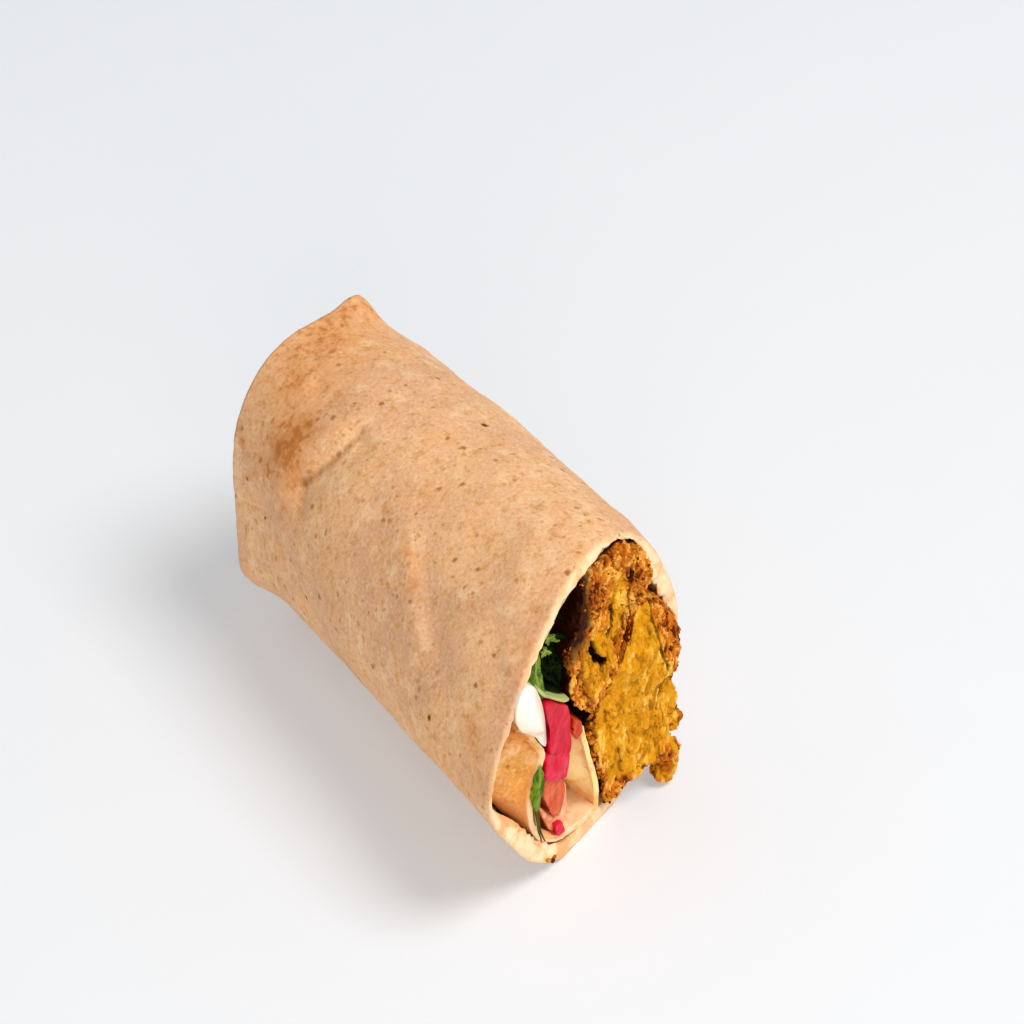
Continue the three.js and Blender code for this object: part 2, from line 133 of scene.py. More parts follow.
def rollRadius(angle, along):               # from the folded end's radii through the waist's to the cut's
    waist, waistAt = around(roll["waistRadii"], angle), roll["waistAt"]
    early = mixed(around(roll["foldedEndRadii"], angle), waist, ease(along / waistAt))
    late = mixed(waist, around(roll["cutRadii"], angle), ease((along - waistAt) / (1 - waistAt)))
    return np.where(along < waistAt, early, late)


def planeX(plane, y, z):                    # x of a slanted end plane at a place across the roll
    return plane[0] + plane[1] * y + plane[2] * (z - roll["axisHeight"])


def stationX(y, z, along):
    return mixed(planeX(roll["foldedPlane"], y, z), planeX(roll["cutPlane"], y, z), along)


def inRoll(y, z, along, ahead=0.0):         # a point of the filling, drawn in as the roll narrows
    angle = np.arctan2(z - roll["axisHeight"], y)
    room = rollRadius(angle, np.minimum(along, 1.0)) - roll["sheetThickness"]
    scale = room / (rollRadius(angle, np.ones_like(angle)) - roll["sheetThickness"])
    nearY = y * scale
    nearZ = roll["axisHeight"] + (z - roll["axisHeight"]) * scale
    return np.stack(np.broadcast_arrays(stationX(nearY, nearZ, along) + ahead, nearY, nearZ), -1)


def atCut(y, z, ahead=0.0):                 # a place on the cut, or so far ahead of it
    return inRoll(np.asarray(y, float), np.asarray(z, float), 1.0, ahead)


def placesAlong(line, shares):              # points of a broken line at shares of its length
    run = np.concatenate([[0], np.cumsum(np.linalg.norm(np.diff(line, axis=0), axis=1))])
    wanted = np.asarray(shares) * run[-1]
    return np.stack([np.interp(wanted, run, line[:, k]) for k in range(line.shape[1])], -1)


def closedCurve(corners, count):            # centripetal Catmull-Rom through corners, points evenly spaced
    p1 = np.asarray(corners, float)
    p0, p2, p3 = np.roll(p1, 1, 0), np.roll(p1, -1, 0), np.roll(p1, -2, 0)
    gaps = [np.sqrt(np.linalg.norm(b - a, axis=1))[:, None] for a, b in ((p0, p1), (p1, p2), (p2, p3))]
    out = ((p1 - p0) / gaps[0] - (p2 - p0) / (gaps[0] + gaps[1]) + (p2 - p1) / gaps[1]) * gaps[1]
    back = ((p2 - p1) / gaps[1] - (p3 - p1) / (gaps[1] + gaps[2]) + (p3 - p2) / gaps[2]) * gaps[1]
    t = np.linspace(0, 1, 40, endpoint=False)[:, None, None]
    line = p1 + out * t + (3 * (p2 - p1) - 2 * out - back) * t ** 2 + (2 * (p1 - p2) + out + back) * t ** 3
    line = line.transpose(1, 0, 2).reshape(-1, p1.shape[1])
    return placesAlong(np.vstack([line, line[:1]]), np.linspace(0, 1, count, endpoint=False))


def openCurve(corners, shares):             # a smooth open curve through corners, at shares of its length
    corners = np.asarray(corners, float)
    p = np.vstack([2 * corners[:1] - corners[1:2], corners, 2 * corners[-1:] - corners[-2:-1]])
    place = np.linspace(0, len(corners) - 1, 400)
    index = np.minimum(place.astype(int), len(corners) - 2)
    return placesAlong(catmullRom(*(p[index + step] for step in range(4)), (place - index)[:, None]), shares)


# ---- meshes ----

def inFrame(points):                        # millimetres from the roll's axis to metres in the frame
    return (np.asarray(points) + roll["axisInFrame"]) * 0.001


def outward(points, faces):                 # faces turned so that the volume inside them is positive
    volume = 0
    for part in faces:
        a, b, c = points[part[:, 0]], points[part[:, 1]], points[part[:, 2]]
        volume += np.einsum("ij,ij->", a, np.cross(b, c))
        if part.shape[1] == 4:
            volume += np.einsum("ij,ij->", a, np.cross(c, points[part[:, 3]]))
    return faces if volume > 0 else [part[:, ::-1] for part in faces]


def makePiece(name, points, faces, material, slot, nodes=(), marks=None):
    points = np.asarray(points, float).reshape(-1, 3)
    faces = outward(points, faces)
    corners = np.concatenate([part.ravel() for part in faces])
    sizes = np.concatenate([np.full(len(part), part.shape[1]) for part in faces])
    mesh = bpy.data.meshes.new(name)
    mesh.vertices.add(len(points))
    mesh.vertices.foreach_set("co", inFrame(points).ravel())
    mesh.loops.add(len(corners))
    mesh.loops.foreach_set("vertex_index", corners)
    mesh.polygons.add(len(sizes))
    mesh.polygons.foreach_set("loop_start", np.concatenate([[0], np.cumsum(sizes)[:-1]]))
    mesh.update(calc_edges=True)
    for mark, values in (marks or {}).items():  # one value a point, read by the material
        layer = mesh.attributes.new(mark, "FLOAT", "POINT")
        layer.data.foreach_set("value", np.asarray(values, float).ravel())
    mesh.validate()
    mesh.shade_smooth()
    mesh.materials.append(material)
    piece = bpy.data.objects.new(name, mesh)
    bpy.context.scene.collection.objects.link(piece)
    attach(piece, "root")
    if nodes:
        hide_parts(*nodes)
    print(f"{name}: {len(points)} points, {len(sizes)} faces")
    return piece


def tubeFaces(rows, columns, first=0):      # quads between neighbouring rings whose ends meet
    row = np.arange(rows - 1)[:, None] * columns + first
    column = np.arange(columns)[None]
    beside = (column + 1) % columns
    quads = np.stack([row + column, row + beside, row + columns + beside, row + columns + column], -1)
    return quads.reshape(-1, 4)


def skinFaces(rows, columns):               # rings as above, closed by a point before and a point after them
    ring = np.arange(columns)
    beside = (ring + 1) % columns
    end = 1 + (rows - 1) * columns
    before = np.stack([np.zeros(columns, int), 1 + beside, 1 + ring], -1)
    after = np.stack([np.full(columns, end + columns), end + ring, end + beside], -1)
    return [before, tubeFaces(rows, columns, 1), after]


def skinOf(grid, first=None, last=None):    # rings and two poles as points and faces; a pole not given is the
    poles = [ring.mean(0) if pole is None else pole     # middle of the ring beside it
             for pole, ring in ((first, grid[0]), (last, grid[-1]))]
    points = np.vstack([poles[0].reshape(1, 3), grid.reshape(-1, 3), poles[1].reshape(1, 3)])
    return points, skinFaces(*grid.shape[:2])


def capped(values, first, last):            # a value for each point of such a skin
    return np.concatenate([[first], values.ravel(), [last]])


def joinParts(parts):                       # several closed skins as one set of points, faces and marks
    points, faces, marks, first = [], [], [], 0
    for partPoints, partFaces, partMarks in parts:
        volume = outward(partPoints, partFaces)
        faces += [part + first for part in volume]
        points.append(partPoints)
        marks.append(partMarks)
        first += len(partPoints)
    return np.vstack(points), faces, np.concatenate(marks)


def gridNormals(grid):                      # unit normals of a grid of rings, all away from its middle
    across = np.roll(grid, -1, 1) - np.roll(grid, 1, 1)
    normals = unit(np.cross(across, np.gradient(grid, axis=0)))
    away = np.sum(normals * (grid - grid.reshape(-1, 3).mean(0)))
    return normals if away > 0 else -normals


# ---- materials ----

def colour(hexText):                        # an sRGB hex value as linear red, green, blue and full alpha
    parts = [int(hexText[i:i + 2], 16) / 255 for i in (0, 2, 4)]
    return [c / 12.92 if c <= 0.04045 else ((c + 0.055) / 1.055) ** 2.4 for c in parts] + [1.0]


def addNode(tree, kind, inputs=None, **settings):   # a node with its settings, input values and links
    node = tree.nodes.new("ShaderNode" + kind)
    for name, value in settings.items():
        setattr(node, name, value)
    for name, value in (inputs or {}).items():
        if isinstance(value, bpy.types.NodeSocket):
            tree.links.new(value, node.inputs[name])
        else:
            node.inputs[name].default_value = value
    return node


def newMaterial(name, **shader):            # one Principled shader with its constants, and object coordinates
    material = bpy.data.materials.new(name)
    material.use_nodes = True
    principled = material.node_tree.nodes["Principled BSDF"]
    for socket, value in shader.items():
        principled.inputs[socket.replace("_", " ")].default_value = value
    place = addNode(material.node_tree, "TexCoord").outputs["Object"]
    return material, material.node_tree, principled, place


def perMm(size):                            # texture scale for a pattern size mm across, on metre coordinates
    return 1000.0 / size


def noiseOf(tree, place, size, detail=2.0, roughness=0.5):
    settings = {"Vector": place, "Scale": perMm(size), "Detail": detail, "Roughness": roughness}
    return addNode(tree, "TexNoise", settings).outputs["Fac"]


def mapped(tree, place, setting, value):    # object coordinates moved or stretched
    return addNode(tree, "Mapping", {"Vector": place, setting: value}).outputs["Vector"]


def rangeOf(tree, value, low, high, toLow=0.0, toHigh=1.0):
    settings = {"Value": value, "From Min": low, "From Max": high, "To Min": toLow, "To Max": toHigh}
    return addNode(tree, "MapRange", settings, interpolation_type="SMOOTHSTEP").outputs["Result"]


def blend(tree, share, first, second):      # first where share is 0, second where it is 1
    node = addNode(tree, "Mix", data_type="RGBA")
    for index, value in ((0, share), (6, first), (7, second)):
        if isinstance(value, bpy.types.NodeSocket):
            tree.links.new(value, node.inputs[index])
        else:
            node.inputs[index].default_value = value
    return node.outputs[2]


def added(tree, first, second):
    return addNode(tree, "Math", {0: first, 1: second}, operation="ADD").outputs[0]


def scaled(tree, value, factor):
    return addNode(tree, "Math", {0: value, 1: factor}, operation="MULTIPLY").outputs[0]


def relief(tree, principled, height, depth):    # depth in mm for a height from 0 to 1
    bump = addNode(tree, "Bump", {"Height": height, "Distance": depth * 0.001, "Strength": 1.0})
    tree.links.new(bump.outputs["Normal"], principled.inputs["Normal"])


def ramp(tree, value, low, middle, high):   # three colours over a value from 0 to 1
    lower = blend(tree, rangeOf(tree, value, 0.0, 0.5), colour(low), colour(middle))
    return blend(tree, rangeOf(tree, value, 0.5, 1.0), lower, colour(high))


def over(tree, base, share, hexText, strength):     # a colour laid over base where share is 1
    return blend(tree, scaled(tree, share, strength), base, colour(hexText))


def warped(tree, place, size, amount):      # places moved about by a noise, so that spots aren't quite round
    noise = addNode(tree, "TexNoise", {"Vector": place, "Scale": perMm(size), "Detail": 1.0})
    settings = {0: noise.outputs["Color"], 1: (0.5, 0.5, 0.5)}
    offset = addNode(tree, "VectorMath", settings, operation="SUBTRACT")
    settings = {0: offset.outputs[0], 1: (amount * 0.001,) * 3, 2: place}
    return addNode(tree, "VectorMath", settings, operation="MULTIPLY_ADD").outputs[0]


def dots(tree, place, cell, radius, share):     # soft round spots in a share of the cells, sizes in mm
    cells = addNode(tree, "TexVoronoi", {"Vector": place, "Scale": perMm(cell)})
    chance = addNode(tree, "SeparateColor", {"Color": cells.outputs["Color"]})
    size = rangeOf(tree, chance.outputs[1], 0, 1, 0.45 * radius / cell, radius / cell)
    spot = rangeOf(tree, cells.outputs["Distance"], scaled(tree, size, 0.35), size, 1, 0)
    chosen = rangeOf(tree, chance.outputs[0], share - 0.05, share + 0.05, 1, 0)
    return scaled(tree, spot, chosen)


def markOf(tree, name):                     # the value that a mesh carries at each point
    return addNode(tree, "Attribute", attribute_name=name).outputs["Fac"]


# Wheat flatbread, griddled: a dry, matt, floury tan skin, mottled pink and yellow, with browned freckles
# where it touched the griddle, and a paler, moister crumb that light passes through where it has been cut.
def flatbreadMaterial(name, skin, warm, pink, crumb):
    material, tree, principled, place = newMaterial(name, Roughness=0.7, Specular_IOR_Level=0.12,
                                                    Subsurface_Radius=(1.0, 0.93, 0.86))
    aside = mapped(tree, place, "Location", (0.3, 0.1, 0.2))
    patches = noiseOf(tree, place, 8.0, 3, 0.6)
    flour = noiseOf(tree, aside, 4.6, 3, 0.62)
    grain = noiseOf(tree, place, 0.75, 3, 0.7)
    blush = rangeOf(tree, noiseOf(tree, place, 26.0, 1, 0.5), 0.38, 0.62)
    base = blend(tree, blush, colour(pink), colour(skin))
    base = over(tree, base, rangeOf(tree, patches, 0.49, 0.66), warm, 0.5)
    base = over(tree, base, rangeOf(tree, patches, 0.46, 0.3), "CC9A70", 0.35)
    base = over(tree, base, rangeOf(tree, noiseOf(tree, aside, 2.1, 2, 0.5), 0.54, 0.72), "D39A54", 0.7)
    base = over(tree, base, rangeOf(tree, flour, 0.5, 0.7), crumb, 0.46)
    base = over(tree, base, rangeOf(tree, grain, 0.5, 0.72), crumb, 0.5)
    base = over(tree, base, rangeOf(tree, grain, 0.48, 0.28), "B27C48", 0.5)
    bent = warped(tree, place, 0.9, 0.9)
    patchy = rangeOf(tree, noiseOf(tree, aside, 9.0, 2, 0.5), 0.38, 0.6, 0.15, 1)
    fine = scaled(tree, dots(tree, bent, 2.3, 0.85, 0.5), patchy)
    base = over(tree, base, fine, "B4742E", 0.7)
    base = over(tree, base, dots(tree, bent, 4.6, 1.0, 0.5), "9C5E1C", 0.8)
    base = over(tree, base, dots(tree, bent, 9.5, 1.1, 0.45), "6E3E0E", 1.0)
    toast = markOf(tree, "toast")
    streaky = noiseOf(tree, place, 1.7, 2, 0.6)
    glow = rangeOf(tree, added(tree, toast, scaled(tree, streaky, 0.5)), 0.25, 1.2)
    base = over(tree, base, glow, "D68A42", 0.85)
    scorched = rangeOf(tree, added(tree, toast, scaled(tree, streaky, 2.4)), 1.65, 2.3)
    base = over(tree, base, scorched, "AE601E", 0.6)
    # painted shade: a dark brown line along the crease, broken by the streaky noise
    base = over(tree, base, scaled(tree, markOf(tree, "crease"), streaky), "844A16", 1.1)
    cut = markOf(tree, "cut")
    # stains from noise and from the toast mark; on the tortilla's inner face that toast mark is a painted
    # warm glow of light shining through the sheet
    wet = added(tree, noiseOf(tree, aside, 5.0, 3, 0.6), scaled(tree, toast, 0.35))
    stained = over(tree, colour(crumb), rangeOf(tree, wet, 0.5, 0.72), "F0A660", 0.75)
    tree.links.new(blend(tree, cut, base, stained), principled.inputs["Base Color"])
    tree.links.new(rangeOf(tree, cut, 0.8, 1.0, 0.25, 0.0), principled.inputs["Subsurface Weight"])
    tree.links.new(rangeOf(tree, cut, 0.2, 0.8, 0.0008, 0.003), principled.inputs["Subsurface Scale"])
    height = added(tree, scaled(tree, grain, 0.5), added(tree, patches, scaled(tree, flour, 0.7)))
    relief(tree, principled, added(tree, height, scaled(tree, fine, -0.3)), 0.2)
    return material


flatbreadSkin = flatbreadMaterial("griddled_wheat_flatbread", "EEBC8E", "EDB278", "E2B08A", "FFDDB2")
toastedLayer = flatbreadMaterial("toasted_inner_flatbread", "E2A450", "D89640", "E8B268", "FFDDB2")
creamLayer = flatbreadMaterial("pale_inner_flatbread", "FFD694", "FBC46C", "FFDAA0", "FFE3A0")


# Fried chickpea crumb: coarse, dry and matt, mustard gold inside and burnt orange to dark brown on the crust.
def falafelMaterial(name):
    material, tree, principled, place = newMaterial(name, Roughness=0.65, Specular_IOR_Level=0.1)
    upright = mapped(tree, place, "Scale", (1, 1, 0.5))
    fine = noiseOf(tree, upright, 0.95, 3, 0.7)
    broad = noiseOf(tree, upright, 4.2, 2, 0.5)
    chip = markOf(tree, "chip")
    soft = added(tree, scaled(tree, chip, 0.55), added(tree, fine, scaled(tree, broad, 1.2)))
    crumb = ramp(tree, added(tree, soft, -0.9), "A06404", "DC9610", "F8CE5C")
    hard = added(tree, scaled(tree, chip, 1.2), added(tree, fine, scaled(tree, broad, 0.8)))
    crust = ramp(tree, added(tree, hard, -1.0), "5E1E02", "C86E0E", "F8B850")
    share = rangeOf(tree, added(tree, markOf(tree, "crust"), scaled(tree, fine, 0.7)), 0.6, 1.05)
    base = blend(tree, share, crumb, crust)
    base = over(tree, base, dots(tree, upright, 2.6, 0.7, 0.3), "F7DC9C", 0.6)
    # painted shade: near-black brown laid over the crumb in the gaps between grains, in cracks and the pit,
    # on the sides behind the cut, and high on the crusty falafel's near side
    base = over(tree, base, markOf(tree, "hollow"), "2E0B02", 1.0)
    tree.links.new(base, principled.inputs["Base Color"])
    relief(tree, principled, noiseOf(tree, upright, 0.8, 4, 0.7), 0.4)
    return material


friedCrumb = falafelMaterial("fried_chickpea_crumb")


# Garlic sauce: a thick white emulsion that lies in smooth shiny lobes and lets a little light through.
garlicCream, tree, principled, place = newMaterial("garlic_sauce_emulsion", Roughness=0.22, IOR=1.46,
                                                   Subsurface_Weight=0.35, Subsurface_Scale=0.004,
                                                   Base_Color=colour("FBF7EC"))
tone = blend(tree, noiseOf(tree, place, 5.0), colour("FDFBF4"), colour("F7EFDC"))
tree.links.new(tone, principled.inputs["Base Color"])


# Pickled turnip and ripe tomato: crisp, wet and half clear, fibrous, paler in streaks and on some pieces.
def wetFlesh(name, deep, light, gloss, size):
    material, tree, principled, place = newMaterial(name, Roughness=gloss, IOR=1.38, Specular_IOR_Level=0.1,
                                                    Subsurface_Weight=0.1, Subsurface_Scale=0.002,
                                                    Subsurface_Radius=(1.0, 0.2, 0.25))
    streak = noiseOf(tree, mapped(tree, place, "Scale", (0.35, 1.6, 1.0)), size, 4, 0.6)
    share = rangeOf(tree, added(tree, streak, scaled(tree, markOf(tree, "pale"), 0.5)), 0.4, 1.0)
    tree.links.new(blend(tree, share, colour(deep), colour(light)), principled.inputs["Base Color"])
    relief(tree, principled, streak, 0.05)
    return material


pickledTurnip = wetFlesh("pickled_turnip_flesh", "BE001C", "EE2C54", 0.3, 3.6)
tomatoFlesh = wetFlesh("ripe_tomato_flesh", "BC3208", "DC6A3C", 0.24, 3.0)


# Parsley and lettuce leaf: thin, waxy on top, darker between the veins.
def leafMaterial(name, dark, light, vein, gloss=0.42, shine=0.08):
    material, tree, principled, place = newMaterial(name, Roughness=gloss, IOR=1.42,
                                                    Specular_IOR_Level=shine)
    tone = rangeOf(tree, noiseOf(tree, place, 2.4, 3, 0.6), 0.35, 0.7)
    base = blend(tree, tone, colour(dark), colour(light))
    base = over(tree, base, markOf(tree, "vein"), vein, 0.8)
    tree.links.new(base, principled.inputs["Base Color"])
    relief(tree, principled, noiseOf(tree, place, 0.8, 2, 0.5), 0.08)
    return material


brightParsley = leafMaterial("fresh_parsley_leaf", "3C5A00", "74900A", "BCC874")
# near black: painted shade for the greens deep in the dark gap of the roll
shadedParsley = leafMaterial("parsley_leaf_in_painted_shade", "030602", "0E1806", "263E14", 0.8, 0.03)
parsleyStem = leafMaterial("parsley_stem", "33300A", "6A5A1C", "6A5A1C", 0.5)
# near black: painted shade deep in the dark gap, with pale veins
lettuceLeaf = leafMaterial("lettuce_leaf", "0D1806", "22380F", "C9D184", 0.35)

# A thin wet film of tomato juice and tahini: orange brown, shiny, with a little light in it.
juiceFilm, tree, principled, place = newMaterial("tomato_tahini_juice", Roughness=0.3, IOR=1.4,
                                                 Subsurface_Weight=0.2, Subsurface_Scale=0.001)
tone = rangeOf(tree, noiseOf(tree, place, 2.5, 3), 0.35, 0.7)
tone = blend(tree, tone, colour("DA7C48"), colour("F4BA8C"))
tree.links.new(tone, principled.inputs["Base Color"])
print("materials made")


# ---- the tortilla ----

tortilla = {
    "columns": 320, "outerRows": 160, "rimRows": 7, "innerRows": 44, "faceRows": 44,
    "aboveStep": [0, 0.25, 0.6, 1.1, 1.8],  # mm from the free edge at which the first and last columns lie
    "belowStep": [1.8, 1.1, 0.6, 0.3, 0.12],
    "rimStations": [0.988, 0.9915, 0.995, 0.998, 1.0],  # shares along, crowded towards the cut
    "radius": 150.0,                        # of the round sheet
    "flapAngleAtCut": -6.0, "flapRollRadius": 28.5,
    "flapStep": 1.4, "flapFade": 40.0,      # the step at the free edge, over how many degrees it fades
    "crevice": (0.4, 0.5),                  # how much deeper right below the free edge, within how many mm
    "edgeRound": (0.6, 1.1),                # the free edge's own rounding, within how many mm
    "underFlap": 1.15, "besideFlap": (1.9, 6.0),    # least thickness below the step; beside it, and how far
    "foldedFlapDepth": 8.0,
    "flapCorner": (74, 3.5, 9.5, 6.5),      # degrees round, rise, width in degrees, length along
    "nearCorner": (217, 2.9, 14, 6.5),
    "spiralTurns": 2.4, "spiralStep": 1.5, "faceDish": 3.2, "faceSwell": 1.6, "facePucker": 0.5,
    "rimTear": 0.55, "rimRound": (0.4, 0.8),    # how ragged the cut edge is, and its rounding within some mm
    "rimSingle": 0.8, "rimDoubled": 3.1, "rimReach": 0.08,
    "doubledAt": [                          # degrees, width, strength
        (20, 26, 0.95), (24, 16, 0.55), (45, 14, 0.75), (93, 12, 1.0), (114, 14, 0.6), (208, 24, 1.05),
        (226, 12, 0.3), (246, 22, 1.2),
    ],
    "rimLow": (262, 34, 1.2),               # degrees, width, how much the lying layers lift the rim's lip
    "rimSwell": 0.25, "rimRagged": (0.22, 0.34),
    "wave": 0.28, "blister": 0.1, "settled": 0.12,      # low relief of the skin, and how far it is let in
}

skinTones = {                               # how toasted and how pale, from 0 to 1
    # inside: toast painted on the inner face as the warm glow of light shining through the sheet
    "faceHub": 0.15, "faceEdge": 0.35, "rimShare": 0.8, "inside": 0.3,
    "rimPale": (0.55, 0.45), "lipPale": (0.7, 0.6),     # single, more if doubled; how pale, within some mm
}

folds = [                                   # from and to as degrees round and share along, width, depth
    ((150, 0.24), (118, 0.34), 4, -1.2), ((142, 0.19), (112, 0.29), 4.5, 0.9),
    ((124, 0.56), (148, 0.69), 6, 0.8), ((128, 0.62), (152, 0.76), 6, -0.7),
    ((170, 0.1), (196, 0.3), 7, -0.8), ((40, 0.3), (10, 0.55), 8, -0.8), ((-8, 0.12), (14, 0.3), 6, -0.9),
    ((146, 0.24), (137, 0.272), 1.4, -0.35), ((137, 0.272), (127, 0.306), 1.1, -0.25),
    ((127, 0.306), (114, 0.332), 1.2, -0.15), ((146, 0.244), (160, 0.256), 2.6, -0.7),
    ((137, 0.25), (119, 0.322), 1.9, 0.4), ((150, 0.25), (158, 0.3), 2.2, -0.5),
    ((92, 0.84), (118, 0.9), 3.5, 0.3), ((126, 0.88), (140, 0.93), 3.0, -0.3),
    ((156, 0.02), (148, 0.12), 2.5, -0.4), ((100, 0.02), (112, 0.16), 3.0, -0.35),
    ((180, 0.02), (172, 0.14), 2.2, -0.45), ((204, 0.03), (198, 0.2), 3.0, -0.5),
]

crease = {                                  # painted shade along the crease: degrees round and share along, half width of the dark line
    "line": [(145, 0.241), (139, 0.267), (132, 0.292), (126, 0.308), (120, 0.325), (113, 0.331)],
    "width": 0.6,
}

toastSpots = [                              # degrees round, share along, half width, half length, strength
    (138, 0.185, 10, 7.5, 0.45), (126, 0.21, 1.2, 2.2, 0.35), (132, 0.198, 1.3, 2, 0.35),
    (135, 0.193, 1.5, 1.4, 0.2), (140, 0.163, 2.6, 2, 0.22), (140, 0.195, 2.2, 1.8, 0.2),
    (139, 0.222, 1.8, 1.2, 0.2), (140, 0.14, 4, 3, 0.2), (152, 0.03, 1.6, 1.2, 0.6), (154, 0.08, 12, 8, 0.2),
    (120, 0.22, 10, 9, 0.2), (160, 0.2, 8, 7, 0.2), (143, 0.247, 0.8, 1.2, 0.4), (119, 0.328, 0.8, 1, 0.5),
    (164, 0.06, 1.2, 1.4, 0.35), (158, 0.092, 1.2, 1.4, 0.35), (153, 0.128, 1.2, 1.4, 0.4),
    (130, 0.182, 1.6, 1.4, 0.2), (144, 0.223, 1.2, 1.2, 0.3), (118, 0.105, 3, 2.4, 0.2),
    (98, 0.46, 1.2, 1.2, 0.5), (136, 0.388, 0.9, 1.2, 0.4), (80, 0.03, 13, 12, 0.22), (98, 0.05, 11, 9, 0.13),
    (112, 0.05, 12, 8, 0.15), (118, 0.08, 12, 10, 0.13), (90, 0.008, 1.6, 1, 0.3),
    (84, 0.025, 1.8, 1.2, 0.3), (76, 0.028, 1.8, 1.2, 0.3), (70, 0.045, 2, 1.4, 0.25),
    # (196, 0.45, 8, 40, 0.2): a long weak brown band down the near side, painted shade
    (196, 0.45, 8, 40, 0.2), (180, 0.85, 9, 22, 0.16), (200, 0.9, 9, 20, 0.16), (90, 0.13, 11, 12, 0.14),
    (106, 0.12, 10, 10, 0.12), (74, 0.2, 10, 13, 0.14), (256, 1, 3.5, 2, 0.9), (268, 1, 2, 2, 0.6),
    (236, 1, 2.5, 2, 0.4), (108, 0.965, 7, 3, 0.14), (120, 0.97, 8, 3, 0.14), (134, 0.975, 8, 3, 0.14),
    (127, 0.495, 1.5, 1.4, 0.6), (129, 0.58, 1.2, 2.4, 0.42), (132, 0.605, 1.2, 2, 0.45),
    (138, 0.64, 1.2, 2.4, 0.45), (141, 0.65, 1.2, 1.8, 0.36), (92, 0.9, 3.5, 1.5, 0.45),
    (100, 0.86, 2, 1.6, 0.3), (84, 0.86, 3, 2, 0.3), (163, 0.93, 2.6, 3, 0.42), (160, 0.9, 2, 2, 0.3),
    (170, 0.42, 6, 8, 0.12),
    (300, 0.3, 16, 14, 0.5), (30, 0.55, 12, 12, 0.45), (255, 0.6, 14, 16, 0.5), (345, 0.75, 9, 8, 0.4),
    (12, 0.2, 9, 8, 0.5), (50, 0.35, 7, 5, 0.4), (215, 0.4, 6, 9, 0.25),
]


def foldRelief(degrees, along):             # each fold is a Gaussian of the distance to its short line
    total = 0
    for start, end, width, depth in folds:
        turn, station = offLine(degrees, along, start, end)
        across, length = np.radians(turn) * roll["axisHeight"], station * roll["length"]
        total = total + depth * np.exp(-(across ** 2 + length ** 2) / width ** 2)
    return total


def cornerRise(degrees, along, corner):     # a Gaussian bump where a corner of the sheet stands out
    middle, rise, width, length = corner
    across = (degrees - middle) / width
    return rise * np.exp(-across ** 2 - (along * roll["length"] / length) ** 2)


def flapAngle(along):                       # the free edge is an arc of the round sheet
    reach = roll["length"] * (1 - along)
    drawnBack = tortilla["radius"] - np.sqrt(tortilla["radius"] ** 2 - reach ** 2)
    return np.radians(tortilla["flapAngleAtCut"]) + drawnBack / tortilla["flapRollRadius"]


def creaseMark(degrees, along):             # painted crease shade: 1 on the crease's line, a Gaussian of the distance beside it
    perDegree = math.radians(1) * roll["axisHeight"]
    line = [(turn * perDegree, station * roll["length"]) for turn, station in crease["line"]]
    distance = lineDistance(degrees * perDegree, along * roll["length"], line)
    return np.exp(-(distance / crease["width"]) ** 2)


def toastAmount(degrees, along):            # soft spots on a plain turn-by-length map of the sheet
    total = 0
    for middle, station, width, length, strength in toastSpots:
        across = np.radians(wrapped(degrees - middle, 360)) * roll["axisHeight"] / width
        total = total + strength * np.exp(-across ** 2 - ((along - station) * roll["length"] / length) ** 2)
    return total


def columnTurns():                          # turns from the free edge, crowded at the step beside it
    near = np.array(tortilla["aboveStep"]) / tortilla["flapRollRadius"]
    below = 2 * np.pi - np.array(tortilla["belowStep"]) / tortilla["flapRollRadius"]
    between = tortilla["columns"] - len(near) - len(below)
    return np.concatenate([near, np.linspace(near[-1], below[0], between + 2)[1:-1], below])


def flapDrop(turn):                         # how much deeper the sheet lies below its free edge: a fading
    belowMm = (2 * np.pi - turn) * tortilla["flapRollRadius"]   # Gaussian, and a narrow one for the crevice
    fade = np.radians(tortilla["flapFade"]) * tortilla["flapRollRadius"]
    deep, narrow = tortilla["crevice"]
    drop = tortilla["flapStep"] * np.exp(-(belowMm / fade) ** 2) + deep * np.exp(-(belowMm / narrow) ** 2)
    return np.where(turn > np.pi, drop, 0)


def rounding(distance, depthAndReach):      # how far an edge is drawn in, a parabola of the distance from it
    depth, reach = depthAndReach
    return depth * np.clip(1 - distance / reach, 0, 1) ** 2


def turnDegrees(angle):                     # degrees from -90 to 270, so that the near side has no jump
    return (np.degrees(angle) + 90) % 360 - 90


def onCylinder(radius, angle, along):       # the sheet's place on a straight roll, for patterns and relief
    return np.stack([along * roll["length"], radius * np.cos(angle), radius * np.sin(angle)], -1)


def outerSkin(turn, along):                 # radius, with step, folds, corners and low relief, then x, y, z
    angle = flapAngle(along) + turn
    degrees = turnDegrees(angle)
    radius = rollRadius(angle, along) - flapDrop(turn) + foldRelief(degrees, along)
    radius = radius - rounding(turn * tortilla["flapRollRadius"], tortilla["edgeRound"])
    for corner in ("flapCorner", "nearCorner"):
        radius = radius + cornerRise(degrees, along, tortilla[corner])
    flat = onCylinder(radius, angle, along)
    skinRelief = tortilla["wave"] * (bumps(flat, 13.0) + 0.5 * bumps(flat, 6.1))
    skinRelief = skinRelief + tortilla["blister"] * (bumps(flat, 2.7) + 0.6 * bumps(flat, 1.3))
    radius = radius + skinRelief - tortilla["settled"]
    y = radius * np.cos(angle)
    z = np.maximum(roll["axisHeight"] + radius * np.sin(angle), 0)
    return np.stack([stationX(y, z, along), y, z], -1), degrees


def doubledSheet(angle):                    # 1 where the cut shows two layers lying together, 0 for one
    degrees = np.degrees(angle) % 360
    return sum(strength * np.exp(-((degrees - middle) / width) ** 2)
               for middle, width, strength in tortilla["doubledAt"])


def rimThickness(angle):
    return mixed(tortilla["rimSingle"], tortilla["rimDoubled"], np.minimum(doubledSheet(angle), 1.4))


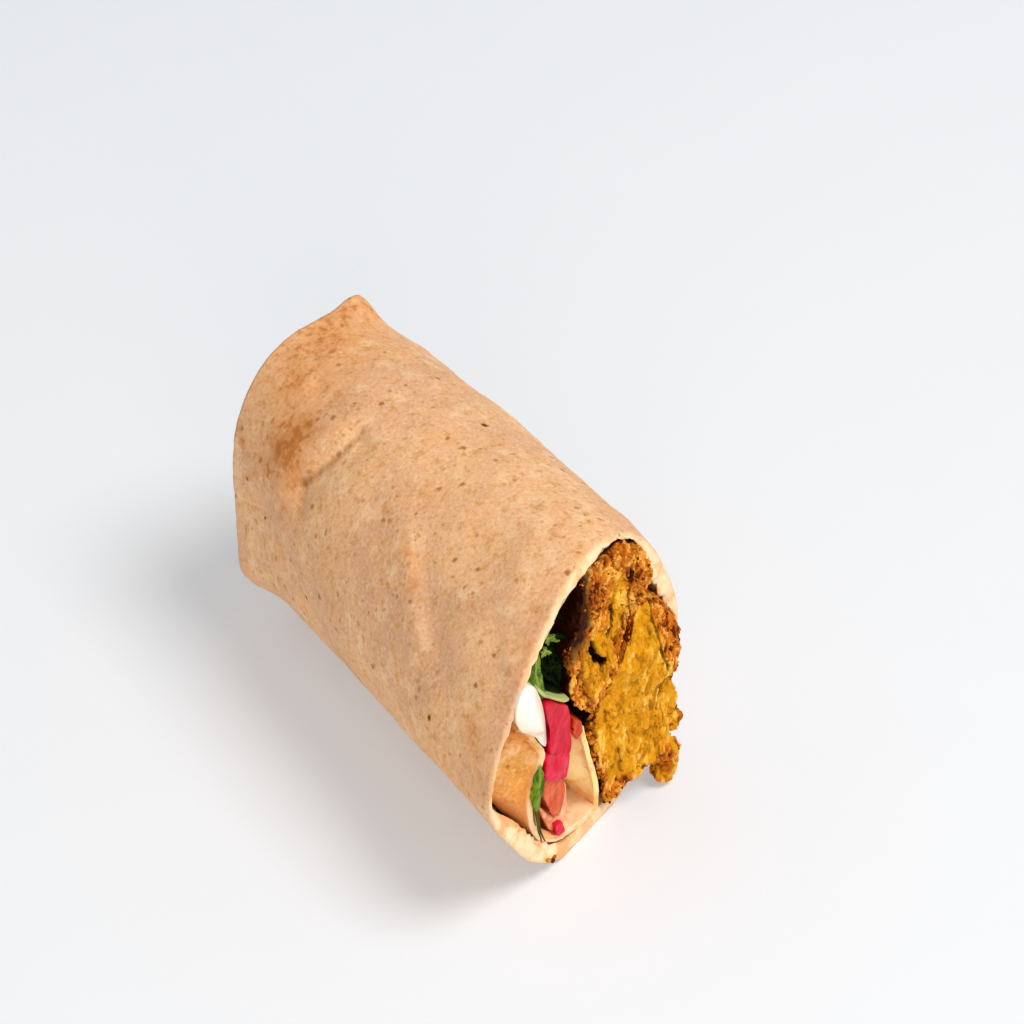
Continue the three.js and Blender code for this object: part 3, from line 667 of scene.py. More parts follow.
def innerSkin(turn, along):
    angle = flapAngle(along) + turn
    nearRim = ease(1 - (1 - along) / tortilla["rimReach"])
    thickness = mixed(roll["sheetThickness"], rimThickness(angle), nearRim)
    drop = flapDrop(turn)
    thickness = np.maximum(thickness, (drop + tortilla["underFlap"]) * (drop > 0.01))
    least, reach = tortilla["besideFlap"]
    thickness = np.maximum(thickness, least * (turn * tortilla["flapRollRadius"] < reach))
    radius = rollRadius(angle, along)
    flat = onCylinder(radius, angle, along)
    coarse, fine = tortilla["rimRagged"]
    ragged = (coarse * bumps(flat, 4.3) + fine * bumps(flat + 31, 1.6)) * (0.5 + doubledSheet(angle))
    pressedIn = np.minimum(foldRelief(turnDegrees(angle), along), 0)
    radius = radius - thickness + ragged + pressedIn * (1 - nearRim)
    y = radius * np.cos(angle)
    middle, width, lift = tortilla["rimLow"]
    lift = lift * nearRim * np.exp(-((np.degrees(angle) % 360 - middle) / width) ** 4)
    z = np.maximum(roll["axisHeight"] + radius * np.sin(angle), roll["sheetThickness"] + lift)
    return np.stack([stationX(y, z, along), y, z], -1)


def foldedFace(rim, share, turn):           # from the middle of the folded end out to its rim, a low spiral
    hub = np.array([planeX(roll["foldedPlane"], 0, roll["axisHeight"]), 0, roll["axisHeight"]])
    face = mixed(hub, rim, share[..., None])
    spiral = (share * tortilla["spiralTurns"] - turn / (2 * np.pi)) % 1
    layer = tortilla["spiralStep"] * ease(spiral / 0.8) * ease((1 - share) / 0.2)
    dish = tortilla["faceDish"] * (1 - share) ** 2
    swell = tortilla["faceSwell"] * np.sin(np.pi * share ** 3)
    puckers = tortilla["facePucker"] * np.sin(7 * turn + 5 * share) * ease((1 - share) / 0.3) * share
    face[..., 0] += dish - swell + layer + puckers + 0.25 * bumps(face, 4.0)
    return face


def makeTortilla():
    turn = columnTurns()[None]
    lastRows = tortilla["rimStations"]
    along = np.concatenate([np.linspace(0, lastRows[0], tortilla["outerRows"]), lastRows[1:]])
    turns, alongs = np.broadcast_arrays(turn, along[:, None])
    outer, degrees = outerSkin(turns, alongs)
    toCut = (1 - alongs) * roll["length"]
    inwards = unit(((0, 0, roll["axisHeight"]) - outer) * (0, 1, 1))
    drawnIn = rounding(toCut, tortilla["rimRound"])[..., None]
    outer = outer + inwards * drawnIn * (outer[..., 2:] > 0.5)
    shares = np.linspace(0, 1, tortilla["rimRows"] + 2)[1:-1, None, None]
    rim = mixed(outer[-1:], innerSkin(turn, np.ones_like(turn)), shares)
    lump = bumps(rim, 2.1) + 0.7 * bumps(rim, 0.9)
    rim[..., 0] += tortilla["rimTear"] * lump + tortilla["rimSwell"] * np.sin(np.pi * shares[..., 0])
    backTo = tortilla["foldedFlapDepth"] / roll["length"]
    innerAlong = mixed(1.0, backTo, np.linspace(0.0, 1, tortilla["innerRows"]) ** 1.8)[:, None]
    innerRings = innerSkin(*np.broadcast_arrays(turn, innerAlong))
    faceShares = np.linspace(0.03, 0.985, tortilla["faceRows"])[:, None]
    faceTurns, faceGrid = np.broadcast_arrays(turn, faceShares)
    face = foldedFace(outer[:1], faceGrid, faceTurns)
    hub = foldedFace(outer[:1, :1], np.zeros((1, 1)), np.zeros((1, 1)))
    backHub = inRoll(np.array(0.0), np.array(roll["axisHeight"]), backTo)
    closing = mixed(innerRings[-1:], backHub, 0.5)
    rings = np.concatenate([face, outer, rim, innerRings, closing])

    rimRows, innerRows, columns = len(rim), len(innerRings) + 1, turn.shape[1]
    shade = np.zeros(rings.shape[:2])
    shade[len(face):len(face) + len(outer)] = creaseMark(degrees, alongs)
    toast = toastAmount(degrees, alongs)
    faceToast = mixed(skinTones["faceHub"], toast[:1], faceGrid) + skinTones["faceEdge"] * (faceGrid > 0.8)
    toastMark = np.vstack([faceToast, toast, np.repeat(toast[-1:] * skinTones["rimShare"], rimRows, 0),
                           np.full((innerRows, columns), skinTones["inside"])])
    single, doubled = skinTones["rimPale"]
    paleEdge = single + doubled * np.minimum(doubledSheet(flapAngle(1.0) + turn), 1)
    lipPale, lipReach = skinTones["lipPale"]
    cutMark = np.vstack([np.zeros_like(faceToast), lipPale * ease(1 - toCut / lipReach) * paleEdge,
                         np.repeat(paleEdge, rimRows, 0), np.ones((innerRows, columns))])
    marks = {"toast": capped(toastMark, 0.2, 0), "cut": capped(cutMark, 0, 0.6),
             "crease": capped(shade, 0, 0)}
    makePiece("tortillaSheet", *skinOf(rings, hub, backHub), flatbreadSkin, "tortilla", ["tortilla"], marks)


makeTortilla()


# ---- inner layers of the roll ----

cutEdge = [(0.08, 0.12), (0.3, 0.2), (0.6, 0.22), (0.85, 0.22)]    # share of the way in, how far ahead


def bentSheet(middle, columns, along, thickness, tear):
    # middle(s, t) is the sheet's middle surface; each ring runs out along one face and back along the other,
    # and the rings close over the cut with a crisp, slightly ragged edge
    s = np.linspace(0, 1, columns)[None]
    s, t = np.broadcast_arrays(s, np.asarray(along)[:, None])
    step = 1e-3
    across = middle(np.minimum(s + step, 1), t) - middle(np.maximum(s - step, 0), t)
    length = middle(s, np.minimum(t + step, 1)) - middle(s, np.maximum(t - step, 0))
    normal = unit(np.cross(across, length))
    grid = middle(s, t)
    half = thickness / 2 * (1 + 0.16 * bumps(grid, 5.0))[..., None]
    skinRelief = (0.14 * bumps(grid, 4.2) + 0.07 * bumps(grid, 1.6))[..., None] * normal
    one = grid + normal * half + skinRelief
    two = grid - normal * half + skinRelief
    rings = np.concatenate([one, two[:, ::-1]], 1)
    back = np.concatenate([grid[:1], grid[:1, ::-1]], 1)
    front = np.concatenate([grid[-1:], grid[-1:, ::-1]], 1)
    caps = []
    for share, ahead in cutEdge:
        cap = mixed(rings[-1:], front, share)
        cap[..., 0] += ahead + tear * (bumps(cap, 1.9) + 0.6 * bumps(cap, 0.8))
        caps.append(cap)
    front[..., 0] += cutEdge[-1][1] + tear * bumps(front, 1.9)
    return np.concatenate([back, rings, *caps, front])


def sheetPiece(name, rings, material, slot, node, marks):
    piece = makePiece(name, rings, [tubeFaces(*rings.shape[:2])], material, slot, [node], marks)
    work = bmesh.new()                      # welds the two halves of the first and last ring
    work.from_mesh(piece.data)
    bmesh.ops.remove_doubles(work, verts=work.verts, dist=2e-6)
    bmesh.ops.dissolve_degenerate(work, edges=work.edges, dist=1e-7)
    work.to_mesh(piece.data)
    work.free()
    piece.data.shade_smooth()


innerLayer = {
    "path": [(-22.3, 42.4), (-19.7, 39.4), (-16.8, 35), (-14.5, 30.8), (-15.4, 28), (-17.3, 24.4),
             (-17.9, 20), (-16.9, 15.2), (-14, 10.4), (-9.5, 6.6), (-4, 4.7), (0.4, 4.1), (2.6, 4.3)],
    "thickness": 1.5, "tear": 0.16, "from": 0.16, "columns": 120, "rows": 80,
    "joinsWall": 9.0,                       # this far behind the cut it lies against the wall of the roll
    "wallGap": 1.6, "leastHeight": 4.0,
    "lip": (2.0, 0.9), "lipPale": 0.85, "cutPale": 0.9,     # how deep the torn lip is and how it varies
    "toastedTop": (0.17, 0.2, 0.1),         # where across the cut turns pale, over what share, from what
    "bend": (0.55, 0.12, 0.35),             # painted light where it bends below into shade: share across, half width, paleness
    "toast": (1.1, 0.4, 0.35, -0.1),        # at the top end, over what share, streaks, everywhere
    "backToast": (0.68, 0.16, 0.8),         # on its other face: share across, half width, strength
}


def makeInnerLayer():
    def middle(s, t):                       # springs from the wall to its own path at the cut
        place = openCurve(innerLayer["path"], s.ravel()).reshape(*s.shape, 2)
        y, z = place[..., 0], place[..., 1]
        angle = np.arctan2(z - roll["axisHeight"], y)
        wall = rollRadius(angle, np.ones_like(angle)) - roll["sheetThickness"] - innerLayer["wallGap"]
        along = mixed(innerLayer["from"], 1.0, t)
        back = (1 - along) * roll["length"]
        swing = ease(back / innerLayer["joinsWall"]) * ease((0.95 - s) / 0.35)
        y = mixed(y, wall * np.cos(angle), swing)
        height = np.maximum(roll["axisHeight"] + wall * np.sin(angle), innerLayer["leastHeight"])
        return inRoll(y, mixed(z, height, swing), along)
    along = 1 - np.linspace(1, 0, innerLayer["rows"]) ** 2.2
    rings = bentSheet(middle, innerLayer["columns"], along, innerLayer["thickness"], innerLayer["tear"])
    s = np.linspace(0, 1, innerLayer["columns"])
    s = np.concatenate([s, s[::-1]])[None]
    facesWall = (np.arange(rings.shape[1]) < innerLayer["columns"]) * np.ones((len(rings), 1))
    behind = np.concatenate([[1], 1 - along, np.zeros(len(cutEdge) + 1)])[:, None] * roll["length"]
    lip = innerLayer["lip"][0] + innerLayer["lip"][1] * bumps(rings, 3.0)
    cut = np.where(facesWall > 0, innerLayer["lipPale"] * ease(1 - behind / lip), innerLayer["cutPale"])
    cut[-len(cutEdge) - 2:] = innerLayer["cutPale"]
    start, over, least = innerLayer["toastedTop"]
    cut = cut * mixed(least, 1, ease((s - start) / over))
    # painted light: paler crumb colour where the layer bends below, to lift its shade
    middleShare, width, paleness = innerLayer["bend"]
    cut = np.maximum(cut, paleness * facesWall * np.exp(-((s - middleShare) / width) ** 2))
    top, fade, streaky, base = innerLayer["toast"]
    toast = (top * ease(1 - s / fade) + streaky * bumps(rings * (0.3, 1, 1), 2.4) + base) * facesWall
    middleShare, width, strength = innerLayer["backToast"]
    toast = toast + strength * (1 - facesWall) * np.exp(-((s - middleShare) / width) ** 2)
    sheetPiece("innerLayerSheet", rings, toastedLayer, "toasted_layer", "inner_layer",
               {"cut": cut, "toast": toast})


makeInnerLayer()

innerTongue = {
    "path": [(3.3, 3.6), (3.2, 9), (2.0, 14), (0.2, 19.5), (-2.0, 27.4)],
    "thickness": 1.2, "tear": 0.12, "flareDepth": 9.0, "deepY": -4.2, "length": 70.0,
    "columns": 60, "rows": 60,
}


def makeInnerTongue():
    def middle(s, t):
        place = openCurve(innerTongue["path"], s.ravel()).reshape(*s.shape, 2)
        back = innerTongue["length"] * (1 - t) ** 2
        swing = ease(back / innerTongue["flareDepth"]) * (0.15 + 0.85 * ease(s * 2))
        y = mixed(place[..., 0], innerTongue["deepY"], swing)
        return inRoll(y, place[..., 1], 1 - back / roll["length"])
    along = np.linspace(0, 1, innerTongue["rows"])
    rings = bentSheet(middle, innerTongue["columns"], along, innerTongue["thickness"], innerTongue["tear"])
    sheetPiece("innerTongueSheet", rings, creamLayer, "cream_layer", "inner_tongue",
               {"cut": np.ones(rings.shape[:2]), "toast": 0.12 + 0.12 * bumps(rings, 6.0)})


makeInnerTongue()
print("tortilla and its inner layers made")


# ---- strands of filling ----

cragSizes = {                               # mm across, share of a strand's roughness, share taken off
    "sides": (6.0, 0.5, 0.3), "front": (7.3, 0.6, 0.2), "fine": (4.1, 0.35, 0),
}


def crags(points, name):                    # height of the large broken forms
    size, share, takenOff = cragSizes[name]
    return share * bumps(points, size) - takenOff


def strandGrid(shape, front, rough=0.0):
    # rings of an outline carried back along the roll, then rings that shrink to its middle across the front;
    # front(y, z) is how far the end stands out of the cut, rough the depth of its large crags
    edge = closedCurve(shape["outline"], shape["columns"])
    middle = edge.mean(0)
    sides = mixed(shape.get("drawnIn", 1.0), 1.0, ease(np.linspace(0, 1, shape["rows"]) * 2 - 1))
    shares = np.concatenate([[0.6], sides, 1 - np.arange(1, shape["caps"]) / shape["caps"]])
    t = np.concatenate([[0], 1 - np.linspace(1, 0, shape["rows"]) ** 1.6, np.ones(shape["caps"] - 1)])
    along = mixed(shape["from"], 1.0, t)[:, None] * np.ones(shape["columns"])
    shares, t = shares[:, None], t[:, None]
    flat = np.stack(np.broadcast_arrays(along * roll["length"], edge[:, 0], edge[:, 1]), -1)
    crag = rough * crags(flat, "sides")
    wanted = (edge - middle) * shares[..., None]
    reach = np.linalg.norm(wanted, axis=-1)
    grown = np.maximum(reach + 0.45 * crag * shares, 0) / np.maximum(reach, 1e-6)
    wanted = middle + wanted * grown[..., None]
    y, z = wanted[..., 0], wanted[..., 1]
    inner = np.stack([np.zeros_like(y), y, z], -1)
    broken = rough * (crags(inner, "front") + crags(inner, "fine"))
    grid = inRoll(y, z, along, t ** 2 * (front(y, z) + broken))
    return grid, y, z, t


def backPole(shape, y, z):                  # the middle of a strand's far end
    return inRoll(y[0].mean(), z[0].mean(), shape["from"])


def inCut(y, z):                            # a place in the cut as a point, for patterns
    return np.stack([y, z, y * 0], -1)


goldenFalafel = {
    "outline": [(14.8, 44.0), (20.6, 42.8), (24.6, 37.5), (25.4, 31), (24, 24), (24.6, 17.6), (21, 10.6),
                (14.6, 8), (9.4, 5.6), (5.3, 4.8), (4.6, 9.6), (3.0, 15), (1.4, 20.5), (0.6, 25), (2.7, 28.8),
                (7.5, 33.9), (11.1, 40.1)],
    "reach": 7.0, "from": 0.14, "columns": 420, "rows": 44, "caps": 110, "rough": 2.2,
    "grainSize": 1.35, "grainDepth": 0.5,
    "cracks": [                             # line in the cut, half width, depth; the groove is also painted dark as shade
        ([(19.3, 44.7), (17.9, 40.7), (19.6, 32.7), (21.6, 27.1)], 0.3, 0.7),
        ([(20.8, 24.5), (18.6, 19.5)], 0.4, 0.6), ([(8.5, 16), (9.6, 9.5)], 0.4, 0.5),
    ],
    "crustFrom": [(18.6, 46), (18.4, 40.7), (20.2, 32.7), (22.2, 27.1), (25.5, 20)],
}

crustyFalafel = {
    "outline": [(3.4, 63.3), (-2.2, 62.5), (-2.4, 58.4), (-4.2, 54), (-5.4, 50.4), (-6.8, 47.4), (-6.2, 44),
                (-5.8, 41), (-5, 36.6), (-2.4, 32.6), (0.4, 29.8), (3.2, 30.3), (7.4, 34.4), (10.8, 39.8),
                (14, 44.4), (20.2, 44.6), (20.0, 49.8), (17.8, 54.8), (14.0, 59.4), (9.4, 62.4)],
    "reach": 0.6, "from": 0.14, "columns": 420, "rows": 44, "caps": 110, "rough": 2.0,
    "grainSize": 1.15, "grainDepth": 0.7,
    "cracks": [
        ([(14.2, 51.3), (12.9, 47.0)], 0.5, 1.0), ([(8.2, 48.3), (6.6, 42.5)], 0.5, 0.8),
        ([(-2.0, 35.5), (0.8, 32.4)], 0.4, 0.5),
        ([(1.3, 43.6), (2.6, 41.0), (4.0, 38.8)], 0.85, 3.2),   # its pit, painted dark as shade
    ],
    "softPatches": [(2.6, 39.6, 5.2, 6.5, 1.3), (9.8, 48.6, 3.2, 7, 1)],    # y, z, half sizes, strength
}

sideShade = {                               # painted shade: how dark a falafel's sides get behind the cut
    "within": 0.02, "nearSeam": 0.35,       # share of the length over which it darkens; how much by the seam
    "farSide": (14, 6, 0.25),               # y from which it weakens, over how many mm, to how much
}

grainMix = {                                # two sizes, each with weights for its round form and own level
    "upright": 0.52, "bend": 0.55, "smallSize": 0.42, "large": (0.55, 0.7), "small": (0.55, 0.55),
    "sunk": 1.15, "lumps": 0.6, "dust": 0.35, "gapBelow": -0.2, "gapOver": 0.7,
}

falafelCrumbs = {
    "onGolden": 200, "onCrusty": 160, "small": 0.15, "large": 0.4, "sink": 0.4, "lift": 1.3,
    "gathered": (0.2, 0.6), "spread": 0.55, "ahead": (-1.2, 0.5),   # sizes, mm aside, mm out of the cut
    "lines": [                              # gathered crumbs: line in the cut, how far out, how many
        ([(1.2, 27.2), (2.2, 21.5), (3.4, 14.5), (5.0, 9.2), (5.6, 5.2)], 0.2, 90),
        ([(0.6, 30.4), (5.6, 32.6), (9.6, 37.6), (12.8, 42.6), (18.4, 43.6)], 0.4, 50),
        ([(-13.2, 4.2), (-11.6, 3.2), (-10.8, 3.4)], 0.5, 9),
        ([(5.6, 4.6), (9.5, 4.6), (14.5, 7.2)], 1.6, 60),
        ([(23.6, 17.5), (24.6, 15.4), (24.4, 13.0)], 5.2, 26),
    ],
}


def edgeCloseness(shape, y, z, width):      # 1 at the outline, 0 at width mm inside it
    edge = closedCurve(shape["outline"], 120)
    gap = np.full(y.shape, 99.0)
    for corner in edge:
        gap = np.minimum(gap, np.hypot(y - corner[0], z - corner[1]))
    return ease(1 - gap / width)


def carved(y, z, t, line, halfWidth):       # 1 in a groove or a pit of the broken front, 0 away from it
    ragged = 0.35 * bumps(inCut(y, z), 1.5)
    return ease((halfWidth * 1.5 - lineDistance(y, z, line) + ragged) / (halfWidth * 0.9)) * (t >= 1)


def crumbled(grid, shape, strength):
    # grains in two sizes, a little longer upwards, each whole grain standing more or less out of the surface;
    # returns the moved grid, its normals, how far down in a gap each point lies, and a value for each grain
    normals = gridNormals(grid)
    size = shape["grainSize"]
    place = grid * (1, 1, grainMix["upright"])
    bend = np.stack([bumps(place + k, size * 1.1) for k in (3.1, 17.7, 41.3)], -1)
    place = place + grainMix["bend"] * size * bend
    height = -grainMix["sunk"] + grainMix["lumps"] * bumps(grid, 2.2 * size)
    height = height + grainMix["dust"] * bumps(place, 0.45)
    large, largeLevel = grains(place, size)
    small, smallLevel = grains(place + 7.7, size * grainMix["smallSize"])
    height = height + large * grainMix["large"][0] + largeLevel * grainMix["large"][1]
    height = height + small * grainMix["small"][0] + smallLevel * grainMix["small"][1]
    gap = ease((grainMix["gapBelow"] - height) / grainMix["gapOver"])
    chip = 0.7 * largeLevel + 0.3 * smallLevel
    return grid + normals * (shape["grainDepth"] * strength * height)[..., None], normals, gap, chip


def falafelPiece(name, shape, front, crustOf, hollowOf, slot, node):
    grid, y, z, t = strandGrid(shape, front, shape["rough"])
    t = t * np.ones_like(y)
    depth = np.zeros_like(y)
    for line, halfWidth, deep in shape["cracks"]:
        depth = np.maximum(depth, deep * carved(y, z, t, line, halfWidth))
    grid[..., 0] -= depth
    crust = np.where(t < 1, 1.0, np.clip(crustOf(y, z), 0, 1))
    grid, normals, gap, chip = crumbled(grid, shape, mixed(0.85, 1.1, crust))
    fromSeam = ease(lineDistance(y, z, falafelCrumbs["lines"][1][0]) / 2 - 0.5)
    farFrom, farOver, farLeft = sideShade["farSide"]
    behind = np.where(t < 1, ease((1 - t) / sideShade["within"]), 0)
    behind = behind * mixed(sideShade["nearSeam"], 1, fromSeam)
    behind = behind * mixed(farLeft, 1, ease((farFrom - y) / farOver))
    # painted shade, from the gaps between grains, the shade given for the piece, its sides behind the cut and
    # the depth of its cracks
    hollow = np.maximum(np.maximum(0.6 * gap * mixed(0.6, 1, crust), hollowOf(y, z)), behind)
    hollow = np.clip(np.maximum(hollow, np.minimum(depth, 1)), 0, 1)
    marks = {mark: capped(values, farEnd, values[-1].mean())
             for mark, values, farEnd in (("crust", crust, 1), ("hollow", hollow, 0), ("chip", chip, 0.5))}
    makePiece(name, *skinOf(grid, backPole(shape, y, z)), friedCrumb, slot, [node], marks)
    return grid, normals, crust, (t >= 0.985) * (1 - ease(2 * depth))


def goldenCrust(y, z):                      # on the far side past its crack, low on the near side, underneath
    crackY, crackZ = zip(*goldenFalafel["crustFrom"][::-1])
    past = np.interp(z, crackZ, crackY)
    farSide = ease((y - past + 0.3) / 0.9)
    nearSide = 0.95 * edgeCloseness(goldenFalafel, y, z, 3.4) * ease((8 - y) / 2) * ease((32 - z) / 3)
    under = 0.8 * ease((10.5 - z) / 4)
    return np.maximum(np.maximum(farSide * (z > 20), nearSide), under)


def crustyCrust(y, z):                      # everywhere but on its soft broken patches
    soft = 0
    for middleY, middleZ, halfY, halfZ, strength in crustyFalafel["softPatches"]:
        soft = soft + strength * np.exp(-(((y - middleY) / halfY) ** 2 + ((z - middleZ) / halfZ) ** 2))
    nearEdge = edgeCloseness(crustyFalafel, y, z, 2.2) * ease((1 - y) / 3)
    return np.maximum(1.05 - soft, nearEdge)


goldenShape = falafelPiece(
    "goldenFalafelCrumb", goldenFalafel,
    lambda y, z: 1 + (goldenFalafel["reach"] - 1) * ease((y - 2) / 20) * ease((48 - z) / 14),
    goldenCrust, lambda y, z: np.zeros_like(y), "falafel_crumb", "falafel_golden")
# the crusty falafel is also painted dark high on its near side, as shade beside the dark gap in the roll
crustyShape = falafelPiece(
    "crustyFalafelCrumb", crustyFalafel,
    lambda y, z: crustyFalafel["reach"] + 0.8 * ease((50 - z) / 14),
    crustyCrust, lambda y, z: 0.97 * ease((1.2 - y) / 3.4) * ease((z - 42) / 7),
    "falafel_crust", "falafel_crusty")


# ---- crumbs ----

def roundStone():                           # a 42-point ball and its 80 faces
    work = bmesh.new()
    bmesh.ops.create_icosphere(work, subdivisions=2, radius=1.0)
    points = np.array([v.co[:] for v in work.verts])
    faces = np.array([[v.index for v in face.verts] for face in work.faces])
    work.free()
    return points, faces


def scatterStones(centres, sizes, seed):    # rough balls turned and stretched at random, joined in arrays
    random = np.random.default_rng(seed)
    ball, faces = roundStone()
    count = len(centres)
    turned = np.linalg.qr(random.normal(size=(count, 3, 3)))[0]
    stretch = random.uniform(0.5, 1.4, (count, 1, 3))
    sizes = sizes[:, None, None]
    bodies = np.einsum("nij,pj->npi", turned, ball) * stretch * sizes
    dents = 1 + 0.45 * bumps(bodies / sizes * 1.9 + centres[:, None], 1.3)
    bodies = bodies * dents[..., None] + centres[:, None]
    offsets = np.arange(count)[:, None, None] * len(ball)
    return bodies.reshape(-1, 3), (faces + offsets).reshape(-1, 3)


def makeFalafelCrumbs():
    random = np.random.default_rng(11)
    centres, sizes, crust = [], [], []
    for (grid, normals, mark, openFront), count in ((goldenShape, "onGolden"), (crustyShape, "onCrusty")):
        area = np.linalg.norm(np.cross(np.gradient(grid, axis=0), np.gradient(grid, axis=1)), axis=-1)
        weight = (area * openFront * (0.12 + mark)).ravel()
        chosen = random.choice(weight.size, falafelCrumbs[count], replace=False, p=weight / weight.sum())
        size = random.uniform(falafelCrumbs["small"], falafelCrumbs["large"], len(chosen))
        sunk = normals.reshape(-1, 3)[chosen] * (size * falafelCrumbs["sink"])[:, None]
        centres.append(grid.reshape(-1, 3)[chosen] - sunk)
        sizes.append(size)
        crust.append(mark.ravel()[chosen])
    for line, ahead, count in falafelCrumbs["lines"]:
        place = openCurve(line, random.uniform(0, 1, count))
        place = place + random.normal(0, falafelCrumbs["spread"], (count, 2))
        centres.append(atCut(*place.T, ahead + random.uniform(*falafelCrumbs["ahead"], count)))
        sizes.append(random.uniform(*falafelCrumbs["gathered"], count))
        crust.append(random.uniform(0.2, 1.0, count))
    centres, sizes, crust = np.vstack(centres), np.concatenate(sizes), np.concatenate(crust)
    centres[:, 2] = np.maximum(centres[:, 2], sizes * falafelCrumbs["lift"] + 0.1)  # clear of the ground
    points, faces = scatterStones(centres, sizes, 12)
    each = len(points) // len(centres)
    chip = random.uniform(0, 0.8, len(centres))
    makePiece("falafelCrumbs", points, [faces], friedCrumb, "falafel_crust",
              marks={"crust": np.repeat(crust, each), "chip": np.repeat(chip, each),
                     "hollow": np.zeros(len(points))})


makeFalafelCrumbs()

brokenLobe = {                              # the crumb that has broken away low on the far side
    "lumps": [((47.8, 21.4, 3.6), (2.6, 2.4, 3.2)), ((46.6, 23.4, 6.2), (2.2, 1.9, 2.4)),
              ((47.2, 20.8, 8.6), (3.0, 2.6, 3.0)), ((46.2, 23.8, 13.6), (1.8, 2.2, 3.0)),
              ((45.4, 24.6, 3.0), (1.7, 1.6, 2.4))],
    "rows": 60, "columns": 90, "grainSize": 1.7, "grainDepth": 0.65,
}


def crumbLump(middle, halfSize, shape):     # a ball of crumb: rings from pole to pole, then grains on them
    polar = np.linspace(0, np.pi, shape["rows"] + 2)[1:-1, None]
    turn = np.linspace(0, 2 * np.pi, shape["columns"], endpoint=False)[None]
    ball = np.stack(np.broadcast_arrays(np.sin(polar) * np.cos(turn), np.sin(polar) * np.sin(turn),
                                        np.cos(polar)), -1)
    grid = np.array(middle) + ball * halfSize
    grid = grid + ball * 0.5 * bumps(grid, 2.6)[..., None]
    grid, _, gap, chip = crumbled(grid, shape, 1.0)
    grid[..., 2] = np.maximum(grid[..., 2], 0.15)
    return *skinOf(grid), np.stack([capped(gap, 0.5, 0.5), capped(chip, 0.5, 0.5)], -1)


def makeBrokenLobe():
    points, faces, marks = joinParts([crumbLump(*lump, brokenLobe) for lump in brokenLobe["lumps"]])
    crust = 0.55 + 0.75 * bumps(points, 3.4)
    # its grain gaps are painted dark as shade
    makePiece("brokenFalafelLobe", points, faces, friedCrumb, "falafel_crumb",
              marks={"crust": np.clip(crust, 0, 1), "chip": marks[:, 1], "hollow": 0.8 * marks[:, 0]})


makeBrokenLobe()
print("falafel made")


# ---- sauce and vegetables ----

def makeStrand(name, shape, front, relief, material, slot, node, marks=None):   # marks: one value for a mark
    grid, y, z, _ = strandGrid(shape, front)
    grid = grid + gridNormals(grid) * relief(grid)[..., None]
    filled = {mark: capped(np.full(y.shape, value), 0, 0) for mark, value in (marks or {}).items()}
    makePiece(name, *skinOf(grid, backPole(shape, y, z)), material, slot, [node], filled)


garlicSauce = {
    "outline": [(-23.3, 46.4), (-22.3, 49.8), (-20.2, 51.2), (-18.0, 49.8), (-16.2, 46.2), (-14.8, 41.8),
                (-13.8, 37), (-13.4, 32.0), (-15.0, 33.8), (-17.0, 37.0), (-19.5, 39.8), (-22.2, 43.0)],
    "reach": 3.6, "from": 0.3, "columns": 120, "rows": 40, "caps": 40, "drawnIn": 0.7,
}


def sauceFront(y, z):                       # full height in the middle, rolled off towards the outline
    fullness = ease((z - 29) / 12) * ease((-y - 11.5) / 4)
    rolledOff = np.sqrt(np.clip(1 - edgeCloseness(garlicSauce, y, z, 3.4), 0, 1))
    return garlicSauce["reach"] * fullness * mixed(0.25, 1.0, rolledOff)


makeStrand("garlicSauceBlob", garlicSauce, sauceFront, lambda grid: 0.2 * bumps(grid, 6.0), garlicCream,
           "garlic_sauce", "garlic_sauce")


def crisp(corners):                         # two points near each corner keep it crisp under a smooth curve
    corners = np.asarray(corners, float)
    before = mixed(corners, np.roll(corners, 1, 0), 0.06)
    after = mixed(corners, np.roll(corners, -1, 0), 0.06)
    return np.stack([before, after], 1).reshape(-1, 2)


vegetables = [                              # piece, node, reach past the cut, paleness, outline
    ("turnipStickUpper", "turnip_upper", 1.0, 0.15,
     [(-14.3, 42.8), (-7.2, 37.2), (-6.1, 33.6), (-6.3, 25.3), (-12.7, 30.1), (-12.9, 36)]),
    ("turnipStickLower", "turnip_lower", 0.8, 0.35,
     [(-13.8, 28.6), (-12.8, 29.9), (-6.3, 25.1), (-7.1, 19.9), (-13.9, 24.6)]),
    ("turnipShard", "turnip_bit", 0.9, 0.3, [(-10.7, 11), (-8.4, 10.2), (-7.7, 7.4), (-9.8, 7.9)]),
    ("tomatoWedge", "tomato_wedge", 0.2, 0.5,
     [(-13.6, 24.0), (-9.2, 21.6), (-7.4, 19.2), (-7.2, 14.8), (-8.6, 12.3), (-11.0, 13.4), (-12.6, 16.6),
      (-13.9, 20)]),
    ("tomatoPiece", "tomato_bit", 1.0, 0.0,
     [(-4.7, 31.8), (-2.9, 30.2), (-2.2, 27.4), (-4.2, 27), (-5.3, 29.4)]),
]

for name, node, reach, paleness, corners in vegetables:
    shape = {"outline": crisp(corners), "from": 0.4, "columns": 150, "rows": 16, "caps": 34}
    flesh, slot = (pickledTurnip, "pickled_turnip") if "turnip" in name else (tomatoFlesh, "tomato")
    makeStrand(name, shape, lambda y, z: reach,
               lambda grid: 0.2 * bumps(grid, 3.4) + 0.07 * bumps(grid * (0.3, 1, 1), 0.9),
               flesh, slot, node, {"pale": paleness})


# ---- leaves ----

def parsleyRadius(phi, lobes, teeth):       # lobes stand out of a small heart, each with a toothed edge
    total = 0.24
    for middle, length, width in lobes:
        total = np.maximum(total, length * np.exp(-(wrapped(phi - middle) / width) ** 2))
    return total * (1 + 0.13 * np.sin(teeth * phi) * ease(total * 2 - 0.5))


